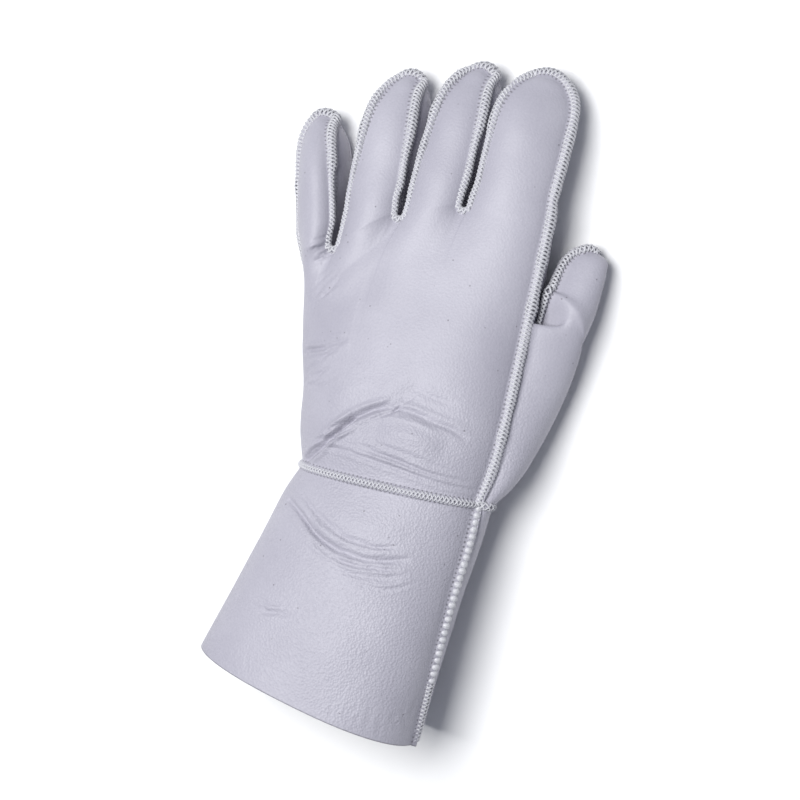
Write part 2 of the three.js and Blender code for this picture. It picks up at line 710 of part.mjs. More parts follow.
// Vertices between two others on a straight stretch of seam take the mean of their seams.
function between(v) {
  const [a, b] = v.between.map(seamOf);
  const t = v.between[1].p.clone().sub(v.between[0].p).normalize();
  const f = a.f.clone().add(b.f);
  f.addScaledVector(t, -f.dot(t)).normalize();
  v.seams = [{ t, f, height: (a.height + b.height) / 2 }];
}
outerGrid[outerGrid.length - 1].filter((v) => v.between).forEach(between);

// A leather wall over the given faces: the faces are its outer side, and its edges turn up at the seams.
// At a sharp turn the wall's corner is drawn out by 1 / leastFacing at most, its inner side by mostDrop.
const leastFacing = 0.4;
const mostDrop = 2.2 * leather;
function leatherWall(faces) {
  const index = new Map();
  const list = [];
  faces.flat().forEach((v) => {
    if (!index.has(v)) {
      index.set(v, list.length);
      list.push({ v, normal: point(0, 0, 0), inward: point(0, 0, 0) });
    }
  });
  const next = new Map();
  faces.forEach((face) => {
    const centre = face.reduce((sum, v) => sum.add(v.p), point(0, 0, 0)).divideScalar(face.length);
    face.forEach((v, k) => {
      const before = face[(k + face.length - 1) % face.length].p.clone().sub(v.p);
      const after = face[(k + 1) % face.length].p.clone().sub(v.p);
      const item = list[index.get(v)];
      item.normal.add(after.clone().cross(before));
      item.inward.add(centre.clone().sub(v.p));
      const to = face[(k + 1) % face.length];
      next.set(`${index.get(v)} ${index.get(to)}`, [v, to]);
    });
  });
  const edges = [...next.entries()].filter(([key]) => !next.has(key.split(" ").reverse().join(" ")));
  const bordered = new Set(edges.flatMap(([, pair]) => pair));

  const positions = [];
  const add = (p) => positions.push(p.x, p.y, p.z) / 3 - 1;
  list.forEach((item) => {
    const { v, normal, inward } = item;
    normal.normalize();
    const outer = v.p.clone();
    const inner = v.p.clone();
    let drop = leather;
    const finTop = v.p.clone();
    const finInside = v.p.clone();
    let height = 0;
    const sewn = bordered.has(v) ? v.seams.filter((seam) => !seam.plain) : [];
    const butted = bordered.has(v) ? v.seams.filter((seam) => seam.plain) : [];
    const out = point(0, 0, 0);
    sewn.forEach(({ t, f, height: rise }) => {
      const along = normal.clone().cross(t);
      if (along.dot(inward) < 0) along.negate();
      const aside = t.clone().cross(f).normalize();
      if (aside.dot(along) < 0) aside.negate();
      const facing = Math.max(aside.dot(along), leastFacing);
      outer.addScaledVector(along, (seamGap / 2 + leather) / facing);
      inner.addScaledVector(aside, seamGap / 2);
      finTop.addScaledVector(aside, seamGap / 2 + leather);
      finInside.addScaledVector(aside, seamGap / 2);
      const reach = leather + (normal.dot(aside) * seamGap) / 2;
      drop = Math.max(drop, reach / Math.max(normal.dot(f), leastFacing));
      height = height === 0 ? rise : Math.min(height, rise);
      out.copy(f);
    });
    butted.forEach(({ plain: side }) => {
      [outer, inner, finTop, finInside].forEach((p) => p.add(side));
    });
    if (sewn.length > 0) {
      finTop.addScaledVector(out, height);
      finInside.addScaledVector(out, height);
      inner.addScaledVector(out, -Math.min(drop, mostDrop));
      item.ids = [add(outer), add(finTop), add(finInside), add(inner)];
    } else {
      const inside = butted.map((seam) => seam.inside).find((side) => side) ?? normal.clone().negate();
      inner.addScaledVector(inside, leather);
      const ids = [add(outer), add(inner)];
      item.ids = [ids[0], ids[0], ids[1], ids[1]];
    }
  });

  const triangles = [];
  const triangle = (a, b, c) => {
    if (a !== b && b !== c && c !== a) triangles.push(a, b, c);
  };
  const where = (id) => point(...positions.slice(3 * id, 3 * id + 3));
  const polygon = (ids) => {
    if (ids.length === 4) {
      const [a, b, c, d] = ids;
      if (where(a).distanceTo(where(c)) < where(b).distanceTo(where(d))) {
        triangle(a, b, c);
        triangle(a, c, d);
      } else {
        triangle(a, b, d);
        triangle(b, c, d);
      }
    } else {
      triangle(...ids);
    }
  };
  faces.forEach((face) => {
    const items = face.map((v) => list[index.get(v)].ids);
    polygon(items.map((ids) => ids[0]));
    polygon(items.map((ids) => ids[3]).reverse());
  });
  edges.forEach(([, [from, to]]) => {
    const a = list[index.get(from)].ids;
    const b = list[index.get(to)].ids;
    for (let k = 0; k < 3; k += 1) polygon([b[k], a[k], a[k + 1], b[k + 1]]);
  });
  const geometry = new THREE.BufferGeometry();
  geometry.setAttribute("position", new THREE.Float32BufferAttribute(positions, 3));
  geometry.setIndex(triangles);
  geometry.computeVertexNormals();
  return geometry;
}

const hide = new THREE.MeshStandardMaterial({ color: 0xcdccda, roughness: 0.62, metalness: 0 });
const wool = new THREE.MeshStandardMaterial({ color: 0xd8d5d2, roughness: 0.95, metalness: 0 });
const glove = new THREE.Group();
function addPiece(name, geometry, material) {
  const mesh = new THREE.Mesh(geometry, material.clone());
  mesh.name = name;
  glove.add(mesh);
}

// Back panel: the back of the hand in one with the backs of the four fingers
function panelFaces(side, grid, handFaces) {
  const faces = [...handFaces];
  fingers.forEach((finger, number) => {
    const columns = side === "palm" && number === indexFinger ? indexPalmColumns : fingerColumns;
    const first = number * (fingerColumns + 2);
    const rows = [grid[grid.length - 1].slice(first, first + columns + 1)];
    for (let row = 1; row < tipRow; row += 1) rows.push(fingerRow(number, row, side, columns));
    const tip = tipLine(number, columns);
    tip.filter((v) => v.between).forEach(between);
    rows.push(tip);
    faces.push(...quads(rows, side === "palm"));
  });
  return faces;
}
addWrist(backGrid[0]);
addPiece("back_panel", leatherWall(panelFaces("back", backGrid, quads(backGrid))), hide);

// Palm panel: beyond the root of the thumb it also covers the index finger's side.
palmGrid[0][0] = twin(backGrid[0][0]);
addWrist(palmGrid[0].slice(1, palmColumn + 1));
const palmHand = quads(palmGrid.slice(0, thumbRow + 1).map((row) => row.slice(0, palmColumn + 1)), true);
palmHand.push(...quads(palmGrid.slice(thumbRow), true));
addPiece("palm_panel", leatherWall(panelFaces("palm", palmGrid, palmHand)), hide);

// Fourchettes: one strip for each gap, down one finger, round the crotch and up the next.
// Each ends in a point where the back and the palm meet.
function fourchette(gap) {
  const near = seamsOf[gap].rows;
  const far = seamsOf[gap + 1].rows;
  const lines = [];
  const strand = (back, palm, row, side) => {
    const swollen = smooth(stripBulge.from, stripBulge.to, fingerSections[row].along);
    const bulge = stripBulge.size * fingerHeight * swollen;
    const crown = point(side * bulge, 0, 0);
    const line = [back];
    for (let k = 1; k < fourchetteColumns; k += 1) {
      line.push(vertex(arch(back.p, palm.p, crown, 1, k / fourchetteColumns)));
    }
    return [...line, palm];
  };
  for (let row = stripEnd; row >= 0; row -= 1) {
    lines.push(strand(near[row].backRight, near[row].palmRight, row, 1));
  }
  lines.push(strand(notches[gap].back, notches[gap].palm, 0, 0));
  for (let row = 0; row <= stripEnd; row += 1) {
    lines.push(strand(far[row].backLeft, far[row].palmLeft, row, -1));
  }
  const faces = quads(lines, true);
  const fan = (line, end, flip) => {
    for (let k = 0; k < fourchetteColumns; k += 1) {
      const face = [line[k], line[k + 1], end];
      faces.push(flip ? face.reverse() : face);
    }
  };
  fan(lines[0], near[mergeRow].backRight, false);
  fan(lines[lines.length - 1], far[mergeRow].backLeft, true);
  return leatherWall(faces);
}
crotches.forEach((crotch, gap) => {
  addPiece(`fourchette_${fingers[gap].name}_${fingers[gap + 1].name}`, fourchette(gap), hide);
});

// Thumb: the outer piece runs down to the wrist as a gusset, the inner one faces the index finger.
addWrist(outerGrid[0]);
addPiece("thumb_outer", leatherWall(quads(outerGrid)), hide);
addPiece("thumb_inner", leatherWall(quads(innerGrid, true)), hide);

// Sections of the cuff from the wrist seam to the hem. x and half are shares of hemWidth,
// top, side and low of hemHeight; side is the height of its widest line.
const cuffSections = table(
  ["along", "x", "half", "top", "side", "low"],
  [0.0, 0.014, 0.408, 0.732, 0.33, 0.063],
  [0.15, -0.016, 0.43, 0.78, 0.35, -0.01],
  [0.4, -0.058, 0.446, 0.86, 0.4, -0.04],
  [0.7, -0.105, 0.47, 0.94, 0.45, -0.045],
  [1.0, -0.155, 0.5, 1.0, 0.48, -0.045],
);
const cuffRows = [0, 0.08, 0.2, 0.34, 0.48, 0.62, 0.76, 0.89, 1];

function cuffPoint(angle, along) {
  const size = (column, whole) => read(cuffSections, column, along) * whole;
  const z = size("side", hemHeight);
  const ring = {
    x: 0,
    z,
    reach: size("half", hemWidth),
    rise: size("top", hemHeight) - z,
    fall: z - size("low", hemHeight),
  };
  const p = ringPoint(ring, angle, 0);
  const turn = -hemSlant * radians * along;
  return point(
    size("x", hemWidth) + p.x * Math.cos(turn),
    -cuffLength * along + p.x * Math.sin(turn),
    p.z,
  );
}

// Round the cuff from the side seam over the top, the little finger's side and the underside, back to it
const cuffWrist = [
  ...[...backGrid[0]].reverse(),
  ...palmGrid[0].slice(1, palmColumn + 1),
  ...[...outerGrid[0]].reverse().slice(1),
];
const cuffAngles = [
  ...[...backAngles].reverse(),
  ...palmAngles.slice(1, palmColumn + 1),
  ...outerGrid[0].slice(1).map((v, j) => {
    return mix(thumbPalmAngle, radialAngle + 2 * Math.PI, (j + 1) / thumbColumns);
  }),
];
// Only the top of the cuff is creased: how steep the section's angle is where the creases begin
const creasedTop = { from: 0.5, to: 0.8 };
function cuffPlace(j, along) {
  const p = cuffPoint(cuffAngles[j], along);
  const pull = cuffWrist[j].p.clone().sub(cuffPoint(cuffAngles[j], 0));
  p.addScaledVector(pull, (1 - along) ** drawnPower);
  if (along > 0) p.z -= creaseDepth(p) * smooth(creasedTop.from, creasedTop.to, Math.sin(cuffAngles[j]));
  p.z = Math.max(p.z, 0);
  return p;
}
const cuffGrid = cuffRows.map((along) => {
  return cuffWrist.map((v, j) => vertex(along === 0 ? v.p : cuffPlace(j, along)));
});
const sideSeam = cuffGrid.map((row) => row[0]);
const sideSeamStyle = { f: point(Math.cos(radialAngle), 0, Math.sin(radialAngle)), height: sideSeamHeight };
sewOut(sideSeam, () => sideSeamStyle);
cuffGrid.forEach((row, i) => {
  row[row.length - 1].seams.push(seamOf(sideSeam[i]));
});
addWrist(cuffGrid[0]);
addPiece("cuff", leatherWall(quads(cuffGrid)), hide);

// Wool lining: a tube whose outer side follows the leather, and whose inner side stands in soft locks
const lockColumns = 2;
function woolTube(rows, clearances) {
  const count = rows[0].length;
  const centres = rows.map((row) => row.reduce((sum, p) => sum.add(p), point(0, 0, 0)).divideScalar(count));
  const positions = [];
  const place = (p) => positions.push(p.x, p.y, p.z) / 3 - 1;
  const outside = [];
  const inside = [];
  rows.forEach((row, i) => {
    const above = rows[Math.min(i + 1, rows.length - 1)];
    const below = rows[Math.max(i - 1, 0)];
    outside.push([]);
    inside.push([]);
    row.forEach((p, j) => {
      const round = row[(j + 1) % count].clone().sub(row[(j + count - 1) % count]);
      const length = above[j].clone().sub(below[j]);
      const normal = round.cross(length).normalize();
      const toCentre = centres[i].clone().sub(p).setY(0).normalize();
      if (normal.dot(toCentre) > 0) normal.negate();
      const outer = p.clone().addScaledVector(normal, -(leather + woolClearance + clearances[j]));
      const lock = (i + Math.floor(j / lockColumns)) % 2 === 0 ? 1 : -1;
      const inner = outer.clone().addScaledVector(toCentre, woolDepth + lock * woolWave);
      outside[i].push(place(outer));
      inside[i].push(place(inner));
    });
  });
  const triangles = [];
  const strip = (a, b, c, d) => triangles.push(a, b, c, a, c, d);
  for (let i = 0; i + 1 < rows.length; i += 1) {
    for (let j = 0; j < count; j += 1) {
      const k = (j + 1) % count;
      strip(outside[i][j], outside[i][k], outside[i + 1][k], outside[i + 1][j]);
      strip(inside[i][k], inside[i][j], inside[i + 1][j], inside[i + 1][k]);
    }
  }
  const last = rows.length - 1;
  for (let j = 0; j < count; j += 1) {
    const k = (j + 1) % count;
    strip(outside[0][k], outside[0][j], inside[0][j], inside[0][k]);
    strip(outside[last][j], outside[last][k], inside[last][k], inside[last][j]);
  }
  const geometry = new THREE.BufferGeometry();
  geometry.setAttribute("position", new THREE.Float32BufferAttribute(positions, 3));
  geometry.setIndex(triangles);
  geometry.computeVertexNormals();
  return geometry;
}

const fleeceRows = [0.02, 0.14, 0.27, 0.4, 0.53, 0.66, 0.79, 0.9, 1 - hemRecess / cuffLength];
const cuffFleece = fleeceRows.map((along) => cuffWrist.slice(0, -1).map((v, j) => cuffPlace(j, along)));
addPiece("cuff_fleece", woolTube(cuffFleece, cuffWrist.map(() => 0)), wool);

const handFleeceRows = 5;
const seamClearance = 2.4;
const seamReach = 2;
const creaseClearance = 0.8;
const handFleece = [];
const seamColumns = [0, backBase.length - 1, backBase.length - 1 + thumbColumns];
for (let i = 0; i < handFleeceRows; i += 1) {
  handFleece.push(ringAround(i).map((v) => {
    const p = v.p.clone();
    if (i === 0) p.y += leather + 2 * woolClearance;
    return p;
  }));
}
const ringEnd = handFleece[0].length - 1;
const nearSeam = (j) => j === ringEnd || seamColumns.some((k) => Math.abs(j - k) < seamReach);
const handClearances = handFleece[0].map((p, j) => (nearSeam(j) ? seamClearance : creaseClearance));
addPiece("hand_fleece", woolTube(handFleece, handClearances), wool);

const box = new THREE.Box3().setFromObject(glove);
glove.position.set(-(box.min.x + box.max.x) / 2, -(box.min.y + box.max.y) / 2, -box.min.z);

export default glove;
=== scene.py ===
"""A left-hand shearling glove with a gauntlet cuff, lying palm down on a pale floor."""

import math

import bpy
import numpy as np
from mathutils import Matrix


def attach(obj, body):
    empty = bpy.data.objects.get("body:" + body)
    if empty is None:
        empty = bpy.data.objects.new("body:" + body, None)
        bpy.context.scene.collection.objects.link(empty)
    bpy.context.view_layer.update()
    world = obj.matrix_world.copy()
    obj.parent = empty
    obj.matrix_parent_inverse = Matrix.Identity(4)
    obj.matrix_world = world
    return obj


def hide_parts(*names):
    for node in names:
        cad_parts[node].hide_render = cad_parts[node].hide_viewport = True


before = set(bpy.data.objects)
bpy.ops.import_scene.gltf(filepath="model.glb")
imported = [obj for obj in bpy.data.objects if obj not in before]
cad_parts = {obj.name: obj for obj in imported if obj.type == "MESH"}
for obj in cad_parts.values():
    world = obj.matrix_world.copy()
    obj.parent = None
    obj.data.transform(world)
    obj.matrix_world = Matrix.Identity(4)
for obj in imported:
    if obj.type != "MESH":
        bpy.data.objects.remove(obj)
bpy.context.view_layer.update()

# Back panel: the back of the hand in one with the backs of the four fingers.
# It is pale lavender shearling leather, finely pored, 1.3 mm thick. Its edge is turned up all round
# and overcast to the next piece, so that it stands in a ridge. Lengths are in millimetres.
PALM_LENGTH = 137
PALM_WIDTH = 132
PALM_HEIGHT = 50
FINGER_HEIGHT = 31
LEATHER = 1.3
NOTCH_WIDTH = 5.4
NOTCH_DEPTH = 2.2
RIDGE_HEIGHT = 2.7
CROTCH_RIDGE = 1.9
PRESSED_RIDGE = 0.5
RIDGE_TOP = 1.1
RIDGE_FOOT = 3.1
HOLE_PITCH = 2.2
HOLE_PLACE = 2.75
SEAM_STEP = 0.55
RADIAL_ANGLE = math.radians(20)
ULNAR_ANGLE = math.radians(205)
SQUARENESS = 0.85
WRIST_PLACE = np.array([3.485, -46.295, 0.0])
UP = np.array([0.0, 0.0, 1.0])
METRES = 0.001

# Sections of the hand from the wrist to the crotch of the index finger: the first three columns are
# shares of the palm's length and width, the others of its height.
HAND = {
    "along": [0.0, 0.12, 0.28, 0.44, 0.65, 0.82, 1.0],
    "left": [-0.352, -0.394, -0.424, -0.477, -0.53, -0.576, -0.621],
    "seam": [0.358, 0.383, 0.392, 0.393, 0.393, 0.394, 0.394],
    "seam_rise": [0.7, 0.68, 0.64, 0.59, 0.54, 0.51, 0.48],
    "top": [1.04, 1.06, 1.0, 0.94, 0.84, 0.76, 0.68],
    "low": [0.09, -0.02, -0.06, -0.06, -0.06, -0.06, -0.06],
}
# Columns of the base line over a finger, a crotch, and the palm side of the index finger
FINGER_COLUMNS, CROTCH_COLUMNS, INDEX_COLUMNS = 4, 2, 8
# How the base line's height fades into the hand: its mean over a width, and the power of its fade
DRAWN_HEIGHTS = [(14, 3), (6, 9), (2.5, 24), (0.01, 60)]
END_REACH = 8
# Fingers from the little one to the index: drift is the sideways lean, a share of the length, and
# root_rise is how much higher the back stands at the root, so that it runs on into the hand.
FINGERS = {
    "width": [24.6, 27.4, 27.6, 36.4],
    "length": [67, 77, 71, 68.5],
    "drift": [-0.19, 0.03, 0.1, 0.03],
    "root_rise": [-0.5, 2.5, 1.0, -1.0],
}
LITTLE, INDEX = 0, 3
# Sections of a finger: width is a share of its width, tuck too, and the rest of the finger height.
FINGER = {
    "along": [0.0, 0.2, 0.4, 0.58, 0.72, 0.82, 0.9, 0.96, 1.0],
    "width": [1.0, 1.0, 1.0, 0.985, 0.95, 0.88, 0.75, 0.58, 0.4],
    "top": [1.1, 1.06, 1.0, 0.95, 0.87, 0.77, 0.66, 0.55, 0.36],
    "low": [-0.06, -0.06, -0.06, -0.06, -0.05, -0.02, 0.06, 0.17, 0.36],
    "back": [0.9, 0.88, 0.84, 0.8, 0.74, 0.67, 0.57, 0.46, 0.36],
    "palm": [0.2, 0.2, 0.2, 0.2, 0.2, 0.22, 0.27, 0.32, 0.36],
    "radial": [0.77, 0.73, 0.67, 0.6, 0.53, 0.46, 0.4, 0.38, 0.36],
    "ulnar": [0.28, 0.32, 0.36, 0.39, 0.4, 0.4, 0.4, 0.38, 0.36],
    "tuck": [0.0, 0.03, 0.07, 0.12, 0.17, 0.21, 0.22, 0.16, 0.0],
}
CROTCHES = [(-0.398, 0.777), (-0.162, 0.927), (0.078, 0.996)]
LITTLE_CORNER = (-0.552, 0.73)
INDEX_CORNER = (0.394, 1.0)
SIDE_BULGE = {"back": (LITTLE, -0.14), "palm": (INDEX, 0.22)}
FULLNESS = {"back": 1.25, "palm": 0.8}
TIP_BULGE = 0.035
# An outseam's lean over the horizontal in degrees, at a finger's root and near its tip
LEANS = {"back": (70, 30), "palm": (-70, -20), "radial": (48, 30), "ulnar": (-20, 30)}

# Folds of the hand's back: points across it, depth and width; a depth below 0 is a swelling
HAND_FOLDS = [
    ([(-41, 2), (-32, 11), (-24, 21), (-16, 29)], 3.0, 1.4),
    ([(-26, 20), (-17, 29), (-9, 34), (1, 39)], 2.2, 1.4),
    ([(-6, 34), (2, 40), (8, 47), (13, 55)], 0.5, 3.2),
    ([(-4, 33), (4, 37), (12, 37), (22, 35), (32, 33), (39, 30)], 1.3, 1.4),
    ([(-36, 14), (-27, 17), (-20, 17)], 0.9, 1.0),
    ([(8, 49), (19, 46), (30, 45)], 0.4, 1.4),
    ([(-4, 26), (14, 26), (30, 23)], -2.0, 8.0),
    ([(-34, 34), (-22, 42), (-8, 50)], -1.0, 7.0),
    ([(-29, 12.5), (-16, 12.8), (0, 11), (16, 9), (32, 7), (46, 6.6)], 0.8, 1.0),
    ([(-19, 16), (-6, 16), (10, 13.5), (26, 10.6), (44, 9.8)], 0.7, 1.0),
    ([(-4, 19.5), (4, 18.5), (20, 16.5), (36, 13.5)], 0.5, 1.0),
    ([(-56, 54), (-42, 59), (-30, 65)], 0.8, 1.3),
    ([(-57, 77), (-43, 95), (-28, 113), (-16, 128)], 0.4, 3.0),
]
# Bundles of fine wrinkles: a line that they follow, their number, spread, depth and width
HAND_WRINKLES = [
    ([(-40, 5), (-32, 13), (-24, 22), (-15, 29)], 7, 7, 0.55, 0.6),
    ([(-16, 29), (-7, 33), (2, 38), (9, 47)], 5, 5, 0.4, 0.6),
    ([(0, 35), (12, 36), (24, 34), (38, 30)], 4, 5, 0.35, 0.7),
    ([(-50, 41), (-42, 45), (-34, 51)], 6, 12, 0.45, 0.7),
    ([(-56, 53), (-44, 57), (-32, 63)], 6, 8, 0.45, 0.7),
    ([(-60, 76), (-52, 86), (-42, 96)], 5, 9, 0.35, 0.7),
    ([(-64, 100), (-56, 106), (-49, 112)], 5, 9, 0.4, 0.6),
    ([(-20, 15), (-2, 15), (20, 12), (44, 9)], 5, 8, 0.3, 0.6),
]
# A fold's lip: its height as a share of the depth, its place and width as shares of the width
LIP = (0.4, 2.1, 1.1)
WRINKLE_POINTS = 7
# Soft swelling of the hide: its height and length
HIDE_SWELL = (0.25, 28)
# Where the pebbled grain fades towards the fingers
PEBBLED = (10, 75)


def smooth(low, high, value):
    """0 below low, 1 above high, and the curve 3t² − 2t³ between them."""
    t = np.clip((value - low) / (high - low), 0, 1)
    return t * t * (3 - 2 * t)


def mix(a, b, share):
    return a + (b - a) * share


def power(value, exponent):
    """The value's size to a power, with the value's own sign."""
    return np.sign(value) * np.abs(value) ** exponent


def unit(v):
    return v / np.maximum(np.linalg.norm(v, axis=-1, keepdims=True), 1e-9)


def cubic(t, a, b, slope_a, slope_b):
    """The cubic from a to b with the given slopes at its ends, at t from 0 to 1."""
    start = (1 + 2 * t) * (1 - t) ** 2
    bend = t * (1 - t) ** 2 * slope_a - t * t * (1 - t) * slope_b
    return start * a + (1 - start) * b + bend


def read(table, column, along):
    """A column at places between the table's rows: a cubic whose slope at a row is that of the
    line between the two rows beside it."""
    at, value = np.array(table["along"]), np.array(table[column])
    last = len(at) - 1
    rows = np.arange(last + 1)
    before, after = np.maximum(rows - 1, 0), np.minimum(rows + 1, last)
    slope = (value[after] - value[before]) / (at[after] - at[before])
    i = np.clip(np.searchsorted(at, along, side="right") - 1, 0, last - 1)
    span = at[i + 1] - at[i]
    t = np.clip((along - at[i]) / span, 0, 1)
    return cubic(t, value[i], value[i + 1], span * slope[i], span * slope[i + 1])


def laid(places, run, values):
    """Each column of the values, which are given at the runs, at the given places."""
    return np.stack([np.interp(places, run, column) for column in values.T], -1)


def on_floor(points):
    """The same points, with what would lie under the floor pressed flat on it."""
    points = np.array(points)
    points[..., 2] = np.maximum(points[..., 2], 0)
    return points


def hand_point(angle, y):
    """The hand's section at y: an oval with its own height above and below its widest line, so
    x = middle + reach · cos^s(angle) and z = widest + rise or fall · sin^s(angle)."""
    along = y / PALM_LENGTH
    left, seam = (read(HAND, name, along) * PALM_WIDTH for name in ("left", "seam"))
    heights = (read(HAND, name, along) * PALM_HEIGHT for name in ("seam_rise", "top", "low"))
    seam_rise, top, low = heights
    reach = (seam - left) / (1 + math.cos(RADIAL_ANGLE) ** SQUARENESS)
    rise = (top - seam_rise) / (1 - math.sin(RADIAL_ANGLE) ** SQUARENESS)
    widest = top - rise
    lift = power(np.sin(angle), SQUARENESS)
    z = widest + lift * np.where(lift > 0, rise, widest - low)
    x = left + reach * (1 + power(np.cos(angle), SQUARENESS))
    return on_floor(np.stack(np.broadcast_arrays(x, y, z), -1))


def finger_base(number):
    """Left and right end of the line across a finger's root."""

    def beside(crotch, side):
        x, y = CROTCHES[crotch]
        return np.array([x * PALM_WIDTH + side * NOTCH_WIDTH / 2, y * PALM_LENGTH + NOTCH_DEPTH, 0])

    def corner(place):
        return np.array([place[0] * PALM_WIDTH, place[1] * PALM_LENGTH, 0])

    left = corner(LITTLE_CORNER) if number == LITTLE else beside(number - 1, 1)
    right = corner(INDEX_CORNER) if number == INDEX else beside(number, -1)
    return left, right


def finger_line(number, along):
    """Middle, direction and half width of the line across a finger at shares of its length, and the
    finger's axis. The line turns square to the axis over the finger's first half."""
    left, right = finger_base(number)
    axis = unit(np.array([FINGERS["drift"][number], 1.0, 0.0]))
    square = np.array([axis[1], -axis[0], 0.0])
    across = unit(mix(unit(right - left), square, smooth(0, 0.45, along)[:, None]))
    width = FINGERS["width"][number] * read(FINGER, "width", along)
    half = mix(np.linalg.norm(right - left), width, smooth(0, 0.2, along)) / 2
    middle = (left + right) / 2 + axis * FINGERS["length"][number] * along[:, None]
    return middle, across, half[:, None], axis


def finger_edge(number, side, along, panel):
    """The seam on one side of a finger: side is -1 towards the little finger and 1 to the thumb."""
    middle, across, half, axis = finger_line(number, along)
    outer = {(LITTLE, -1): "ulnar", (INDEX, 1): "radial"}.get((number, side))
    tucked = panel == "back" and side > 0 and not outer
    tuck = 2 * read(FINGER, "tuck", along)[:, None] if tucked else 0
    edge = middle + across * (side - tuck) * half
    edge[:, 2] = read(FINGER, outer or panel, along) * FINGER_HEIGHT
    return edge


def finger_sheet(number, panel, along, share):
    """One side of a finger: at each place along it, an arch between its two seams. A point lies
    at middle + half line · sin(a) + crown · cos(a)^fullness, a from −90° to 90° over the share."""
    middle, across, half, axis = finger_line(number, along)
    start, end = (finger_edge(number, side, along, panel)[:, None] for side in (-1, 1))
    height = read(FINGER, "top" if panel == "back" else "low", along) * FINGER_HEIGHT
    if panel == "back":
        height = height + FINGERS["root_rise"][number] * (1 - smooth(0, 0.5, along))
    crown = UP * (height - (start + end)[:, 0, 2] / 2)[:, None]
    bulged, bulge = SIDE_BULGE[panel]
    if number == bulged:
        crown = crown + across * half * bulge
    angle = (share - 0.5) * math.pi
    place = np.sin(angle)[None, :, None]
    arch = np.maximum(np.cos(angle), 0)[None, :, None] ** FULLNESS[panel]
    sheet = (start + end) / 2 + (end - start) / 2 * place + crown[:, None] * arch
    near_tip = smooth(0.88, 1, along)[:, None, None]
    tip = FINGERS["length"][number] * TIP_BULGE * (1 - place**2) * near_tip
    return on_floor(sheet + axis * tip)


def notch(number, panel, count=5):
    """The seam round a crotch: half an oval from one finger's root to the next."""
    x, y = CROTCHES[number]
    turn = np.linspace(0, math.pi, count + 2)[1:-1]
    across = x * PALM_WIDTH - NOTCH_WIDTH / 2 * np.cos(turn)
    along = y * PALM_LENGTH + NOTCH_DEPTH * (1 - np.sin(turn))
    return np.stack([across, along, np.full(count, FINGER[panel][0] * FINGER_HEIGHT)], -1)


def base_line(panel, shares):
    """The line where the hand ends and the fingers begin, with each point's column number."""
    points, columns = [], []
    pitch = FINGER_COLUMNS + CROTCH_COLUMNS
    for number, share in enumerate(shares):
        points.append(finger_sheet(number, panel, np.zeros(1), share)[0])
        wide = INDEX_COLUMNS if panel == "palm" and number == INDEX else FINGER_COLUMNS
        columns.append(number * pitch + wide * share)
        if number < INDEX:
            gap = notch(number, panel)
            share_of_gap = np.arange(1, len(gap) + 1) / (len(gap) + 1)
            points.append(gap)
            columns.append(number * pitch + FINGER_COLUMNS + CROTCH_COLUMNS * share_of_gap)
    return np.concatenate(points), np.concatenate(columns)


def angle_at(points, below):
    """The angle on the hand's section that lies over or under the given points."""
    y = points[:, 1]
    left, right = (hand_point(np.full(len(y), angle), y)[:, 0] for angle in (math.pi, 0.0))
    share = np.clip((points[:, 0] - left) / (right - left) * 2 - 1, -0.995, 0.995)
    angle = np.arccos(power(share, 1 / SQUARENESS))
    return 2 * math.pi - angle if below else angle


def hand_sheet(base, angles, shares, pull=1.0):
    """The hand from the wrist to the base line: the oval section, drawn to the base line by the
    cube of the share of the way. The base line's height is taken apart by width across the hand,
    and its narrower parts only come in near the fingers."""
    y = shares[:, None] * base[None, :, 1] * pull
    points = hand_point(angles[None, :], y)
    drawn = base - hand_point(angles, base[:, 1])
    across = base[:, 0]
    ends = sum(np.exp(-(((across - across[end]) / END_REACH) ** 2)) for end in (0, -1))
    points[..., :2] += drawn[:, :2] * shares[:, None, None] ** 3
    below = np.zeros(len(base))
    for width, strength in DRAWN_HEIGHTS:
        near = np.exp(-(((across[:, None] - across) / width) ** 2))
        weight = near * np.abs(np.gradient(across))
        level = mix(weight @ drawn[:, 2] / weight.sum(1), drawn[:, 2], np.minimum(ends, 1))
        points[..., 2] += (level - below) * shares[:, None] ** strength
        below = level
    return on_floor(points)


def gather(count, strength=0.55):
    """Shares from 0 to 1 that lie closer together at both ends, where the seams are."""
    even = np.linspace(0, 1, count + 1)
    return mix(even, 0.5 - 0.5 * np.cos(even * math.pi), strength)


def seam(parts, closed=False):
    """A seam from parts (points, lean or direction, height), laid end to end: evenly spaced points,
    the way along it, the way its ridge stands, its height, and the run from its start."""
    points = np.concatenate([part[0] for part in parts])
    ways, heights = [], []
    for line, way, height in parts:
        way = np.broadcast_to(way, (len(line),) if np.ndim(way) < 2 else (len(line), 3))
        if way.ndim == 1:
            along = unit(np.gradient(line, axis=0))
            flat = unit(np.stack([along[:, 1], -along[:, 0], np.zeros(len(line))], -1))
            lean = np.radians(way)[:, None]
            way = flat * np.cos(lean) + UP * np.sin(lean)
        ways.append(way)
        heights.append(np.broadcast_to(height, len(line)))
    ways, heights = np.concatenate(ways), np.concatenate(heights)
    if closed:
        points, ways, heights = (np.concatenate([a, a[:1]]) for a in (points, ways, heights))
    run = np.concatenate([[0], np.cumsum(np.linalg.norm(np.diff(points, axis=0), axis=1))])
    even = np.linspace(0, run[-1], int(run[-1] / SEAM_STEP) + 2)
    points, ways = laid(even, run, points), laid(even, run, ways)
    heights = np.interp(even, run, heights)
    along = unit(np.gradient(points, axis=0))
    ways = unit(ways - along * (ways * along).sum(-1, keepdims=True))
    return {"points": points, "along": along, "way": ways, "height": heights, "run": even}


